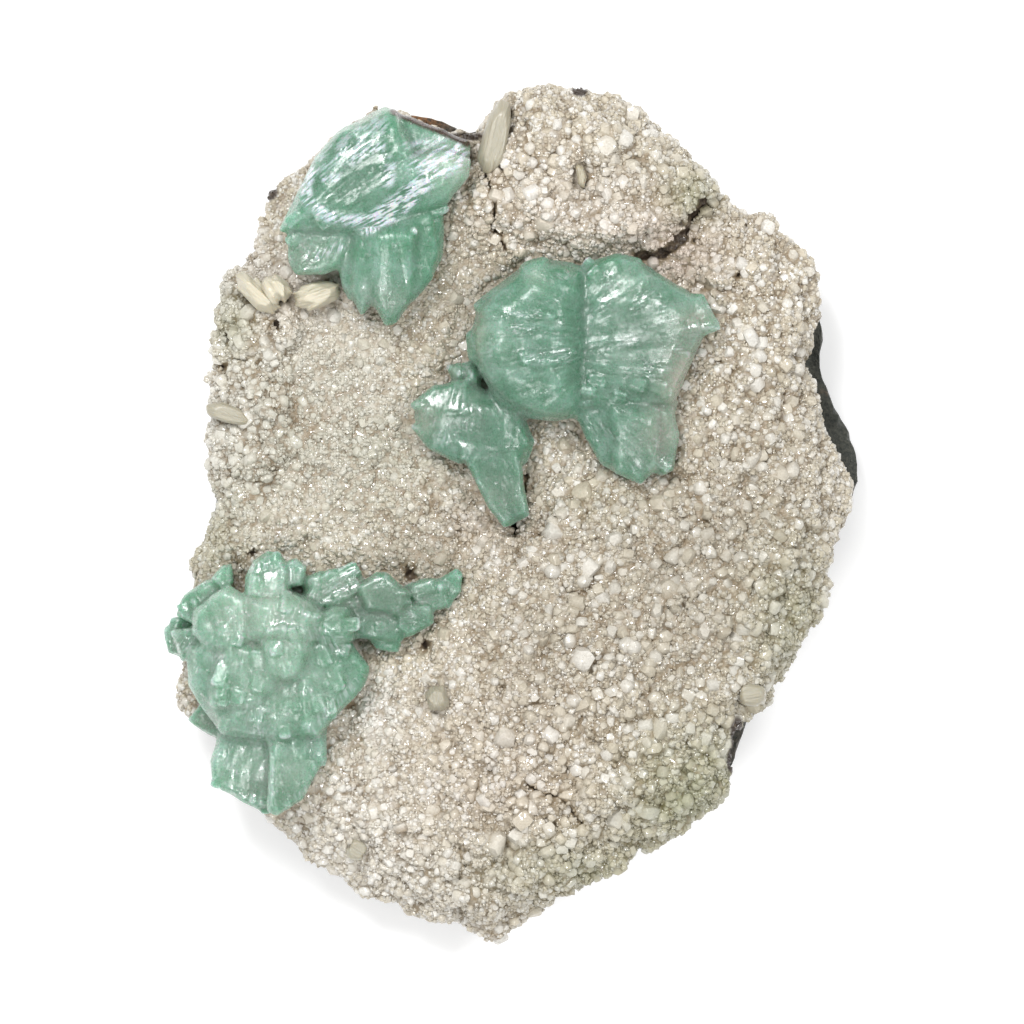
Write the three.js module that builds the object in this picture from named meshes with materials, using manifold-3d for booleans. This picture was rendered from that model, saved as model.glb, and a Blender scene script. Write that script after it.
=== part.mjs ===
// Apophyllite cluster: sheaves of green apophyllite on a crust of heulandite grains, with a few
// cream stilbite blades, over a slab of basalt that lies on its broken back.
// Millimetres, +Z up, the slab's length along Y. Places are [x, y] as seen from above.

import * as THREE from 'three';
import { ConvexGeometry } from 'three/addons/geometries/ConvexGeometry.js';
import { LoftGeometry } from 'three/addons/geometries/LoftGeometry.js';
import { mergeVertices } from 'three/addons/utils/BufferGeometryUtils.js';
import Module from 'manifold-3d';

const wasm = await Module();
wasm.setup();

// ---------------------------------------------------------------- driving dimensions

const SEAM = 0.35;                // open seam between two pieces that grew on each other
const FIELD_LEVEL = 28.2;         // crust height in the middle of the slab
const FIELD_SLOPE_X = -0.035;     // the left field climbs to the left ...
const FIELD_SLOPE_Y = 0.08;       // ... and to the top
const UPPER_LUMP_RISE = 6;        // step up to the lump along the top edge
const DOME_TOP = 34.5;            // crown of the low dome that fills the lower right
const DOME_CENTRE = [22, -22];
const DOME_FALL = 0.0022;         // how fast the dome falls away, per square millimetre
const DOME_FADE = [4, 26];        // width of the dome's edge: steep at the left, soft at the top ...
const DOME_FADE_FROM = [-4, 18];  // ... and where it changes from one to the other, along Y
const LUMP_FADE = [9.5, 2.5];     // width of the upper lump's edge, soft at the left, steep at the right
const LUMP_FADE_FROM = [-2, 22];  // where it changes from one to the other, along X
const RIM_WIDTH = 12;             // the crust rolls down over this width ...
const RIM_DROP = 7;               // ... by this much ...
const RIM_SLOPE = 0.6;            // ... and goes on falling outside its outline
const CRUST_THICKNESS = 6;
const CRUST_CELL = 4.8;           // spacing of the crust's facets
const SEAT_CELL = 13;             // spacing of the facets between crust and basalt
const LUMP_PITCH = 8;             // spacing and height of the crust's rounded lumps
const LUMP_HEIGHT = 1.3;
const FINE_LUMP_SHARE = 0.35;     // share of the height in lumps half as wide
const FACET_ROUGHNESS = 0.6;      // chance height of single facets
const SEAT_ROUGHNESS = 0.4;
const FACET_JITTER = 0.48;        // chance shift of a facet's corner, in cells; 0.5 would fold the net
const EMBED = 4.5;                // how far a crystal's root reaches below the crust's face
const GROUND_SPAN = [172, 196, 80];
const GROUND_FLOOR = -6;

// ---------------------------------------------------------------- outlines, counterclockwise

const CRUST_OUTLINE = [
  [8.5, 85], [3, 84.2], [-2.5, 82], [-4, 79.5], [-6, 74.5], [-13, 75.4], [-18, 78], [-22, 80],
  [-28, 81.3], [-33, 77.5], [-38, 72.8], [-43, 68.5], [-49, 63.5], [-48.5, 61], [-50.5, 58],
  [-51.5, 51], [-54, 49], [-57.5, 46], [-59, 39], [-59, 30], [-61, 17], [-60.5, 6], [-59.5, 2],
  [-62, -5.5], [-65.5, -10.5], [-64, -13], [-66, -20], [-65, -27], [-67.3, -36], [-67, -39.5],
  [-60, -45], [-55, -50], [-52, -56], [-48, -63], [-42.3, -68.5], [-42.5, -70.5], [-36, -72.5],
  [-30, -77.8], [-23, -78.5], [-20, -81], [-12, -82.5], [-3.5, -85], [0, -82.5], [12, -75.5],
  [28, -66.5], [36, -62.5], [41.5, -58.5], [43, -54], [42.8, -48], [44.5, -42.5], [50.5, -38],
  [52, -34.5], [57.5, -26], [62, -17], [62.8, -12], [66, -4], [68.5, 0], [69.5, 5.5], [65.5, 12],
  [61.5, 22], [59.3, 29], [60.8, 36], [61, 42], [59, 50], [52.8, 54], [52, 57], [50, 59.3],
  [47.5, 57.8], [43, 61.5], [38.5, 68], [31.5, 74], [28, 77.5], [20.5, 83.8], [15, 84.3],
];

const UPPER_LUMP = [
  [-9, 90], [-8, 70], [-15, 63], [-13, 52.5], [4, 51.5], [22, 50.5], [30, 52], [35, 55.5],
  [38, 60.5], [46, 66], [42, 78], [25, 92],
];

const LOWER_DOME = [
  [4, 22], [3, -1], [-3, -5], [-10, -11], [-14, -18], [-20, -25], [-30, -31], [-33, -40],
  [-37, -50], [-42, -62], [-50, -82], [0, -100], [60, -80], [90, -20], [84, 40], [40, 46],
];

// Stretches of the rim where the basalt stands out past the crust: [from, to, reach], in degrees
const BASALT_LEDGES = [[5, 36, 2.4], [94, 106, 1.2], [308, 319, 1.8]];
const LEDGE_FADE = 4;             // a ledge swells and ebbs over this many degrees to each side
const BASALT_RIM_INSET = 0.8;
const BASALT_SIDES = 60;
const BASALT_RINGS = [            // height, how far in from the rim, and how rough
  { z: 0, inset: 9, rough: 1.2 },
  { z: 3, inset: 5, rough: 1.6 },
  { z: 8, inset: 1.8, rough: 1.2 },
  { z: 12.5, inset: 0, rough: 0 },
  { z: 60, inset: 0, rough: 0 },
];
const CRUST_RINGS = [             // the crust's rim leans in below its face
  { z: 4, inset: 4 },
  { z: 9, inset: 1.6 },
  { z: 13, inset: 0 },
  { z: 66, inset: 0 },
];
const INSET_CHANCE = [0.6, 1.4];  // least and greatest share of a ring's inset

// ---------------------------------------------------------------- chance, noise and distances

function hash(column, row, seed) {
  const wave = Math.sin(column * 127.1 + row * 311.7 + seed * 74.7) * 43758.5453;
  return wave - Math.floor(wave);
}

function makeRandom(seed) {
  let draw = 0;
  return () => {
    draw += 1;
    return hash(draw, draw % 17, seed);
  };
}

function smooth(low, high, value) {
  return THREE.MathUtils.smoothstep(value, low, high);
}

/** The value at a share of the way between two values. */
function between([from, to], share) {
  return THREE.MathUtils.lerp(from, to, share);
}

/** Rolling noise between -1 and 1. */
function noise(x, y, pitch, seed) {
  const column = Math.floor(x / pitch);
  const row = Math.floor(y / pitch);
  const across = smooth(0, 1, x / pitch - column);
  const up = smooth(0, 1, y / pitch - row);
  const lower = between([hash(column, row, seed), hash(column + 1, row, seed)], across);
  const upper = between([hash(column, row + 1, seed), hash(column + 1, row + 1, seed)], across);
  return between([lower, upper], up) * 2 - 1;
}

/** Distance from a point to an outline, positive inside it. */
function depthInside(outline, x, y) {
  let nearest = Infinity;
  let inside = false;
  outline.forEach(([ax, ay], index) => {
    const [bx, by] = outline[(index + 1) % outline.length];
    const along = ((x - ax) * (bx - ax) + (y - ay) * (by - ay)) / ((bx - ax) ** 2 + (by - ay) ** 2);
    const clamped = THREE.MathUtils.clamp(along, 0, 1);
    nearest = Math.min(nearest, Math.hypot(x - ax - clamped * (bx - ax), y - ay - clamped * (by - ay)));
    if ((ay > y) !== (by > y) && x < ax + ((y - ay) * (bx - ax)) / (by - ay)) inside = !inside;
  });
  return inside ? nearest : -nearest;
}

// ---------------------------------------------------------------- relief of the crust

/** Height of the crust's face without its lumps. */
function ground(x, y) {
  const field = FIELD_LEVEL + FIELD_SLOPE_X * x + FIELD_SLOPE_Y * y;
  const dome = DOME_TOP - DOME_FALL * ((x - DOME_CENTRE[0]) ** 2 + (y - DOME_CENTRE[1]) ** 2);
  const domeFade = between(DOME_FADE, smooth(...DOME_FADE_FROM, y));
  const domeShare = smooth(0, domeFade, depthInside(LOWER_DOME, x, y));
  const lumpFade = between(LUMP_FADE, smooth(...LUMP_FADE_FROM, x));
  const lumpShare = smooth(0, lumpFade, depthInside(UPPER_LUMP, x, y));
  const level = between([field, Math.max(field, dome)], domeShare) + UPPER_LUMP_RISE * lumpShare;
  const fromRim = depthInside(CRUST_OUTLINE, x, y);
  const rimShare = 1 - THREE.MathUtils.clamp(fromRim / RIM_WIDTH, 0, 1);
  return level - RIM_DROP * rimShare ** 2 + RIM_SLOPE * Math.min(fromRim, 0);
}

/** Height of the crust's face with its lumps. */
function crustFace(x, y) {
  const broad = noise(x, y, LUMP_PITCH, 3);
  const fine = noise(x, y, LUMP_PITCH / 2, 8);
  return ground(x, y) + LUMP_HEIGHT * between([broad, fine], FINE_LUMP_SHARE);
}

// ---------------------------------------------------------------- solids

/** A closed geometry as a solid that can be joined and cut. */
function toSolid(geometry) {
  const bare = new THREE.BufferGeometry();
  bare.setAttribute('position', geometry.attributes.position);
  bare.setIndex(geometry.index);
  const welded = mergeVertices(bare);
  return new wasm.Manifold(new wasm.Mesh({
    numProp: 3,
    vertProperties: new Float32Array(welded.attributes.position.array),
    triVerts: new Uint32Array(welded.index.array),
  }));
}

function join(solids) {
  return solids.reduce((whole, solid) => whole.add(solid));
}

/** The biggest body of a cut solid; chips that the cut leaves free are dropped. */
function mainBody(solid) {
  return solid.decompose().reduce((best, body) => (body.volume() > best.volume() ? body : best));
}

function hull(points) {
  return toSolid(new ConvexGeometry(points));
}

function toMesh(name, solid, material) {
  const { vertProperties, triVerts } = solid.getMesh();
  const geometry = new THREE.BufferGeometry();
  geometry.setAttribute('position', new THREE.BufferAttribute(new Float32Array(vertProperties), 3));
  geometry.setIndex(new THREE.BufferAttribute(new Uint32Array(triVerts), 1));
  const mesh = new THREE.Mesh(geometry, material);
  mesh.name = name;
  return mesh;
}

/** Everything below a surface: a block whose top is a net of jittered facets. */
function below(surface, cell, roughness) {
  const [spanX, spanY, spanZ] = GROUND_SPAN;
  const columns = Math.round(spanX / cell);
  const rows = Math.round(spanY / cell);
  const block = new THREE.BoxGeometry(spanX, spanY, spanZ, columns, rows, 1);
  block.translate(0, 0, spanZ / 2 + GROUND_FLOOR);
  const position = block.attributes.position;
  for (let index = 0; index < position.count; index += 1) {
    if (position.getZ(index) > 0) {
      const column = Math.round((position.getX(index) / spanX + 0.5) * columns);
      const row = Math.round((position.getY(index) / spanY + 0.5) * rows);
      const isEdge = column === 0 || row === 0 || column === columns || row === rows;
      const shift = isEdge ? 0 : FACET_JITTER * cell;
      const x = position.getX(index) + shift * (hash(column, row, 1) - 0.5);
      const y = position.getY(index) + shift * (hash(column, row, 2) - 0.5);
      const chance = roughness * (hash(column, row, 5) * 2 - 1);
      position.setXYZ(index, x, y, surface(x, y) + chance);
    }
  }
  return toSolid(block);
}

function belowCrustFace(lift) {
  return below((x, y) => crustFace(x, y) + lift, CRUST_CELL, FACET_ROUGHNESS);
}

function belowSeat(lift) {
  return below((x, y) => ground(x, y) - CRUST_THICKNESS + lift, SEAT_CELL, SEAT_ROUGHNESS);
}

// ---------------------------------------------------------------- crystals

// Layers of a crystal: [share of its rise, share of its footprint]; -1 is its root in the crust
const BLUNT = [[-1, 0.92], [0.8, 1.06], [1, 0.84]];
const DOMED = [[-1, 0.9], [0.5, 1], [0.84, 0.88], [1, 0.56]];
const POINTED = [[-1, 0.9], [0.4, 1], [1, 0.2]];
const LOW_LEAF = [[-1, 0.9], [0.4, 1], [1, 0.56]];
const SHARP_PRISM = [[-1, 0.9], [0.84, 1], [1, 0.86]];

/**
 * A crystal standing on a convex footprint, with flat faces between its layers. Its crown leans by
 * lean, in millimetres of height per millimetre of run.
 */
function crystal(footprint, rise, lean = [0, 0], layers = BLUNT) {
  const middle = new THREE.Vector2();
  footprint.forEach(([x, y]) => middle.add(new THREE.Vector2(x, y).divideScalar(footprint.length)));
  const level = ground(middle.x, middle.y);
  const points = [];
  layers.forEach(([riseShare, footShare]) => {
    footprint.forEach(([x, y]) => {
      const runX = (x - middle.x) * footShare;
      const runY = (y - middle.y) * footShare;
      const crown = rise * riseShare + (runX * lean[0] + runY * lean[1]) * riseShare;
      const height = riseShare < 0 ? -EMBED : crown;
      points.push(new THREE.Vector3(middle.x + runX, middle.y + runY, level + height));
    });
  });
  return hull(points);
}

/** Crystals from rows of footprint, rise, lean and, where they aren't blunt, layers. */
function grow(rows) {
  return rows.map((row) => crystal(...row));
}

// ---------------------------------------------------------------- apophyllite, upper left

const UPPER_LEFT_CRYSTALS = [
  // the cap, its ridge and its wing
  [[
    [-25, 80.4], [-34.5, 75.4], [-39.6, 69.6], [-46.4, 55.4], [-40, 54.4], [-28, 54.6], [-20, 59.2],
    [-17, 66], [-21, 77],
  ], 13.6, [0.02, -0.03], DOMED],
  [[[-26, 80.2], [-23, 79.6], [-19.6, 70], [-16, 62.4], [-22, 60], [-27.4, 68]], 14.3, [0, 0.04], DOMED],
  [[
    [-24, 79.4], [-19.6, 76.4], [-14, 74.8], [-8.6, 73.2], [-8.8, 69.4], [-12, 66], [-19, 66],
  ], 10.4, [-0.24, 0.06]],
  [[
    [-22, 69], [-13, 71], [-8.6, 69.4], [-9, 66], [-13, 61.4], [-20, 58.4], [-28, 55], [-27, 60],
  ], 11.6, [-0.14, 0.22]],
  // the lobe at the lower left and the face at the lower right
  [[[-44.2, 55], [-44, 49.4], [-42.8, 47], [-37, 47], [-33.6, 49], [-31, 56]], 9, [0.1, 0.16]],
  [[[-13.8, 61.5], [-13.9, 50.8], [-16, 46.6], [-20, 49], [-23, 58], [-20, 60]], 9.4, [-0.42, 0.1]],
  // the fan below the cap
  [[[-33, 55], [-34.6, 50], [-33.4, 44], [-32.5, 41.8], [-29, 46], [-27, 55]], 8.6, [0.3, 0.22]],
  [[[-31, 56], [-32, 43.4], [-30, 38.8], [-27.4, 41.6], [-24, 56]], 10.6, [0.1, 0.26]],
  [[[-28, 56], [-27.4, 41.4], [-25.2, 37], [-23.2, 37.4], [-19.6, 42.4], [-19, 56]], 11.6, [-0.04, 0.28]],
  [[[-24, 58], [-21, 41.4], [-19.4, 42], [-16, 46.4], [-14.2, 51], [-16, 60]], 10, [-0.3, 0.14]],
];

// ---------------------------------------------------------------- apophyllite, centre

const CENTRE_LEFT_LOBE = [
  // the rounded body, then the faces that break its edge
  [[
    [14.4, 48.4], [10.5, 49.8], [5, 50.2], [-0.6, 47], [-6.4, 41.8], [-8.2, 36], [-7.8, 30.6],
    [-5.6, 25.6], [-1, 21], [4, 18.2], [9, 17.6], [13.6, 18.8], [14.8, 33],
  ], 15, [-0.03, 0], DOMED],
  [[[-7.8, 41], [-3.6, 44.4], [0.4, 42.6], [1, 37], [-5, 36]], 11.2, [0.34, -0.14]],
  [[[-9, 35.4], [-8.6, 30.2], [-3, 27.4], [1.6, 31], [-1.6, 37]], 11.8, [0.36, 0.06]],
  [[[-4.6, 24.2], [-0.8, 20.2], [4.2, 18.4], [6, 25.4], [0, 29]], 11.2, [0.14, 0.34]],
  [[[0.2, 45.6], [1.8, 49], [6.6, 50.4], [8, 44], [4, 40]], 12.4, [0.16, -0.3]],
];
const CENTRE_RIGHT_LOBE = [
  [[
    [12.2, 20], [22, 18.8], [31.6, 20.6], [33.4, 26], [34.6, 31], [38.6, 36], [37.4, 42.2], [31, 45.4],
    [25.6, 49.6], [20.4, 50.6], [12.4, 48.4],
  ], 11.4, [-0.16, -0.02], DOMED],
  [[[24, 37], [27, 43.4], [37.6, 43], [41, 36.3], [33.6, 33.2]], 9.4, [-0.26, 0]],
  [[[20, 30.4], [21, 36], [34, 33.4], [34.9, 29.6], [28, 27.4]], 9.2, [-0.24, 0.04]],
  [[[20, 22.4], [20.6, 28.6], [33.4, 27.8], [33.8, 25], [26, 22]], 8.8, [-0.22, 0.1]],
  [[[18, 19.4], [19, 25.4], [30.4, 24], [32.8, 21.6], [31.6, 19.2]], 8.2, [-0.2, 0.12]],
  [[[14.6, 41], [15, 49], [20.6, 51], [25.2, 50], [27.4, 46], [24, 39.4]], 10.8, [-0.02, -0.22]],
];
const CENTRE_FOOT = [
  [[[12.2, 20.6], [14.4, 15.4], [17.4, 9.6], [21.4, 7.4], [25, 14], [22, 21]], 8.4, [0.16, 0.22]],
  [[[19, 21], [20.4, 7.8], [25.4, 5.7], [28.6, 8.6], [28.6, 20]], 8.8, [-0.04, 0.24]],
  [[[24, 21], [26.4, 8.8], [29.6, 7.3], [32, 8.4], [32.8, 15.6], [31.8, 20.4]], 7, [-0.26, 0.14]],
];
const SMALL_CENTRE_CLUSTER = [
  [[
    [-10.3, 26.6], [-15.4, 24.4], [-19, 21.8], [-19.6, 18.4], [-17.4, 14.6], [-12.6, 10.8], [-6, 9.4],
    [2.2, 9.2], [4.7, 13.8], [1.8, 20.4], [-3.8, 23.4],
  ], 8.8, [0.04, 0.02], DOMED],
  [[[-9, 26.2], [-15.8, 24.6], [-20.2, 21.2], [-17, 18.6], [-8, 19]], 8, [0.16, -0.2]],
  [[[-16, 18.6], [-20, 16.8], [-16.8, 12.6], [-10.6, 9.4], [-7, 12], [-8, 18.4]], 7.4, [0.2, 0.16]],
  [[
    [-9.6, 10], [-6, 15], [1, 13], [1.5, 3.4], [3.4, -0.8], [-1.6, -3.2], [-4.6, 0.4],
  ], 9.2, [-0.04, 0.06],
    SHARP_PRISM],
  [[[-13.2, 29], [-10.6, 29.7], [-8.6, 28.2], [-8.8, 25], [-11.8, 25.2]], 5, [0, 0], POINTED],
  [[[-9.9, 29.6], [-7.8, 29.6], [-6, 27.2], [-6.6, 23.5], [-9.4, 24.8]], 7, [0, 0], POINTED],
];

// ---------------------------------------------------------------- apophyllite, lower left

const LOWER_LEFT_CROWN = [
  // the broad body that the others grew on, and its flank to the right
  [[
    [-64.8, -27], [-64.6, -34.8], [-62, -38], [-58, -44.4], [-47.6, -46], [-40.2, -45.8], [-37.4, -43.2],
    [-32.8, -37.8], [-29.4, -33.4], [-29.6, -29], [-34, -25.4], [-44, -22], [-58, -22],
  ], 11, [-0.02, 0.1], DOMED],
  [[[-41, -25.6], [-32, -25.8], [-28.2, -30.8], [-29, -34], [-39, -45.4], [-42, -44], [-42.6, -33]],
    10.8, [-0.3, 0.16], SHARP_PRISM],
  // blocks on the body
  [[
    [-58, -28.4], [-56, -26.4], [-47, -26.8], [-46.2, -34], [-51, -39.2], [-59.8, -38.4],
  ], 13.2, [0.06, 0.12]],
  [[[-49.8, -25.4], [-41.4, -25.2], [-40.4, -27.6], [-42.4, -33.2], [-45.6, -33.6], [-48.4, -31]],
    15.6, [-0.06, 0.02], SHARP_PRISM],
  [[
    [-54, -16.6], [-46, -14.6], [-40, -17.2], [-36.6, -20.4], [-36.8, -24.6], [-40.4, -27.2], [-48, -26.8],
    [-54, -25.4],
  ], 14.8, [0, -0.06], DOMED],
  [[
    [-63.2, -19.8], [-59.4, -16.8], [-56.4, -14.8], [-52.8, -17], [-52.4, -25.4], [-55, -28],
    [-60.6, -27], [-63.2, -24],
  ], 13, [0.2, 0.02]],
  [[
    [-39, -20.8], [-36, -18.6], [-32.6, -18.5], [-30.7, -22], [-31.2, -25.4], [-35, -27.9], [-39.2, -25.4],
  ], 13.4, [-0.16, -0.04], DOMED],
  // along the upper edge
  [[[-52.8, -13], [-51.2, -9.8], [-48.6, -8], [-46, -8.5], [-44.2, -12], [-44.8, -17], [-52.6, -17]],
    12.2, [0, -0.16]],
  [[[-46.6, -10.6], [-43, -9.6], [-41, -11], [-41.8, -14.6], [-46.4, -15]], 10.6, [-0.16, -0.1]],
  [[[-67, -20.7], [-65.4, -16.6], [-61, -13.6], [-56.8, -13.2], [-57.2, -16.6], [-63.4, -22.4]],
    9, [0.26, -0.2], SHARP_PRISM],
  [[[-59.8, -13.2], [-57.6, -10.8], [-55.9, -10.4], [-55.4, -14], [-57, -15.8]], 8.4, [0, -0.2]],
  // left edge
  [[[-67.8, -24], [-62, -22.8], [-60.8, -28.2], [-65.8, -29.8]], 10.6, [0.24, 0.08]],
  [[[-69.3, -23.5], [-66.6, -21.4], [-65.6, -29], [-68.7, -28.2]], 6.4, [0.2, 0]],
  [[
    [-64.9, -41.6], [-62, -38], [-57.6, -41.6], [-58, -44.6], [-60.5, -45],
  ], 5.4, [0.2, 0.1], SHARP_PRISM],
  // skirt
  [[[-58.7, -43.6], [-60.3, -49.6], [-59.8, -54.4], [-50.4, -59.8], [-48.4, -59.2], [-47, -44]],
    9.4, [0.16, 0.14], SHARP_PRISM],
  [[[-48.4, -45.6], [-44, -45.4], [-38.2, -50.2], [-41.6, -57.2], [-46.8, -60.6], [-48.8, -59.6]],
    8.8, [-0.2, 0.1], SHARP_PRISM],
  [[[-45, -42.4], [-37.2, -41.6], [-37.4, -50.2], [-42, -50]], 7.2, [-0.2, 0.1]],
];
const LOWER_LEFT_CHAIN = [
  [[
    [-41.4, -13.2], [-36, -11.6], [-30.6, -11.4], [-29.2, -15.2], [-34, -19], [-41, -18.6],
  ], 7, [-0.06, -0.08]],
  [[
    [-31, -14.8], [-27, -12.1], [-25.2, -12.3], [-20.3, -16.3], [-21.8, -20.8], [-29, -19.6],
  ], 8.2, [-0.1, 0]],
  [[
    [-34, -17.4], [-28, -16.6], [-21.2, -23.6], [-22.6, -26], [-31, -25], [-34, -22],
  ], 6.6, [-0.06, 0.16]],
  [[
    [-22.8, -20.6], [-21, -18.2], [-16.2, -18.8], [-15.8, -22.2], [-20.8, -24.9], [-23, -23.2],
  ], 6.8, [-0.2, 0.1]],
  [[[-21.4, -15.8], [-18.2, -13.6], [-13.4, -13.4], [-12.2, -18.8], [-17, -20]], 5, [-0.06, -0.06]],
  [[[-15.4, -14], [-11.2, -11.4], [-10.1, -12.5], [-10.4, -15.8], [-12.8, -19.2]], 4.6, [0.06, 0.1]],
  [[[-30, -23.4], [-22, -23.6], [-22.8, -28], [-27, -27.4]], 4.6, [0, 0.1]],
];

// ---------------------------------------------------------------- stilbite

/** Cream blades lying in the crust: a name, a footprint, a rise and the lean of the crown. */
const STILBITE_BLADES = [
  ['stilbite_blade_top', [
    [-2, 82.5], [-0.3, 82], [0.2, 77], [-0.9, 70], [-2.5, 67], [-4.5, 65.8], [-6.2, 66.8],
    [-7.4, 70], [-5.2, 75], [-4.8, 78.5],
  ], 6.5, [0.1, 0]],
  ['stilbite_leaf_top', [[12.2, 69], [14, 68.6], [14.8, 66], [14.2, 63.8], [13, 64.6]], 2.4, [0, 0]],
  ['stilbite_sheaf_left_long', [
    [-55.5, 47.4], [-53, 47.6], [-48.6, 43.6], [-45.6, 40.4], [-47.4, 39], [-50.6, 39.8], [-53.6, 43],
  ], 5, [0.1, 0.1]],
  ['stilbite_sheaf_left_short', [
    [-49.6, 46.6], [-46.4, 47], [-44.4, 45.4], [-44.2, 42], [-45.2, 41], [-47.2, 43.4],
  ], 6, [0, 0.1]],
  ['stilbite_sheaf_left_round', [
    [-43.6, 40.6], [-38.6, 40.2], [-34.8, 42], [-33.6, 43.8], [-35, 45.4], [-38, 46], [-41.4, 44.4],
    [-43.6, 42.4],
  ], 5.5, [0, -0.1]],
  ['stilbite_blade_left', [
    [-61.4, 21.4], [-58, 22], [-53.4, 20.4], [-51.4, 18], [-52.4, 16.6], [-57, 17.6], [-60.8, 19],
  ], 4, [0.12, 0]],
  ['stilbite_blade_right', [
    [44.6, -34.4], [46.6, -33.6], [50.6, -35], [50.8, -37.4], [48.4, -39], [44.8, -38.4],
  ], 4.5, [-0.1, 0]],
  ['stilbite_sheaf_low', [
    [-17.6, -36], [-15.6, -34.2], [-13.4, -35], [-12.4, -38], [-13.6, -40], [-16.4, -39.6],
  ], 3.6, [0, 0.1]],
  ['stilbite_blade_bottom', [
    [-33.6, -67], [-31.8, -64.8], [-28.8, -66], [-28.4, -68.4], [-30.4, -70], [-33, -69.4],
  ], 3.6, [0, -0.1]],
];

// ---------------------------------------------------------------- heulandite grains on the crust

const GRAIN_COUNT = 22;
const GRAIN_FORM = [1, 0.75, 0.85];  // a grain's length, width and height as shares of its size
const GRAIN_LIFT = 0.12;          // how far its middle stands above the crust, as a share of its size
const GRAIN_CLEARANCE = 0.8;      // open space that a coarse grain keeps to every other crystal
const GRAIN_ZONES = [             // middle, spread and size of each patch of coarse grains
  { middle: [10, -62], spread: [34, 18], size: [3.4, 5] },
  { middle: [34, -10], spread: [30, 34], size: [3.2, 4.4] },
  { middle: [-52, 34], spread: [9, 22], size: [3.4, 5.4] },
  { middle: [14, 66], spread: [28, 16], size: [3, 4.2] },
];

/** Coarse grains strewn over the crust, clear of the crystals that grow on it. */
function grainSolids(crystals) {
  const random = makeRandom(21);
  const grains = [];
  while (grains.length < GRAIN_COUNT) {
    const zone = GRAIN_ZONES[Math.floor(random() * GRAIN_ZONES.length)];
    const x = zone.middle[0] + (random() * 2 - 1) * zone.spread[0];
    const y = zone.middle[1] + (random() * 2 - 1) * zone.spread[1];
    const size = between(zone.size, random());
    const turns = [random() - 0.5, random() - 0.5, random() * Math.PI];
    const block = (margin) => {
      const box = new THREE.BoxGeometry(...GRAIN_FORM.map((share) => size * share + margin));
      box.rotateX(turns[0]).rotateY(turns[1]).rotateZ(turns[2]);
      return toSolid(box.translate(x, y, crustFace(x, y) + size * GRAIN_LIFT));
    };
    const guard = block(2 * GRAIN_CLEARANCE);
    const isClear = crystals.every((solid) => guard.intersect(solid).isEmpty());
    if (isClear && depthInside(CRUST_OUTLINE, x, y) > size) grains.push(block(0));
  }
  return grains;
}

// ---------------------------------------------------------------- basalt and crust

/** The crust's rim moved in along the line to the middle, by more or less than the inset. */
function movedOutline(inset, z) {
  return CRUST_OUTLINE.map(([x, y], index) => {
    const chance = between(INSET_CHANCE, hash(index, 4, 6));
    const share = 1 - (inset * chance) / Math.hypot(x, y);
    return new THREE.Vector3(x * share, y * share, z);
  });
}

/** Distance from the middle to the crust's rim in one direction. */
function rimReach(angle) {
  const directionX = Math.cos(angle);
  const directionY = Math.sin(angle);
  let reach = 0;
  CRUST_OUTLINE.forEach(([ax, ay], index) => {
    const [bx, by] = CRUST_OUTLINE[(index + 1) % CRUST_OUTLINE.length];
    const cross = directionX * (by - ay) - directionY * (bx - ax);
    const along = (ax * directionY - ay * directionX) / cross;
    const hit = (ax * (by - ay) - ay * (bx - ax)) / cross;
    if (along >= 0 && along <= 1 && hit > reach) reach = hit;
  });
  return reach;
}

function ledgeReach(angle) {
  const degrees = THREE.MathUtils.radToDeg(angle);
  return BASALT_LEDGES.reduce((reach, [from, to, out]) => {
    const swell = smooth(from - LEDGE_FADE, from + LEDGE_FADE, degrees);
    const rise = swell * (1 - smooth(to - LEDGE_FADE, to + LEDGE_FADE, degrees));
    return reach + (out + BASALT_RIM_INSET) * rise;
  }, -BASALT_RIM_INSET);
}

function basaltSolid() {
  const rings = BASALT_RINGS.map(({ z, inset, rough }, level) => {
    const ring = [];
    for (let side = 0; side < BASALT_SIDES; side += 1) {
      const angle = (side / BASALT_SIDES) * 2 * Math.PI;
      const chip = rough * (hash(side, level, 11) * 2 - 1);
      const reach = rimReach(angle) + ledgeReach(angle) - inset + chip;
      const lift = z > 0 ? rough * (hash(side, level, 12) - 0.5) : 0;
      ring.push(new THREE.Vector3(reach * Math.cos(angle), reach * Math.sin(angle), z + lift));
    }
    return ring;
  });
  const rock = toSolid(new LoftGeometry(rings, { capStart: true, capEnd: true }));
  return mainBody(rock.intersect(belowSeat(-SEAM)));
}

function crustSolid(crystals) {
  const rings = CRUST_RINGS.map(({ z, inset }) => movedOutline(inset, z));
  const slab = toSolid(new LoftGeometry(rings, { capStart: true, capEnd: true }));
  const layer = mainBody(slab.intersect(belowCrustFace(0)).subtract(belowSeat(0)));
  return join([layer, ...grainSolids(crystals)]);
}

// ---------------------------------------------------------------- the assembly

const BASALT = new THREE.MeshStandardMaterial({ color: 0x45483f, roughness: 0.92, metalness: 0 });
const HEULANDITE = new THREE.MeshStandardMaterial({ color: 0xdcd0c0, roughness: 0.62, metalness: 0 });
const STILBITE = new THREE.MeshStandardMaterial({ color: 0xd9cda8, roughness: 0.38, metalness: 0 });
const APOPHYLLITE = new THREE.MeshStandardMaterial({
  color: 0x7fb496, roughness: 0.16, metalness: 0, transparent: true, opacity: 0.85,
});

const crystalSeat = belowCrustFace(SEAM);
const grownOnCrust = (rows) => mainBody(join(grow(rows)).subtract(crystalSeat));

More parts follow.
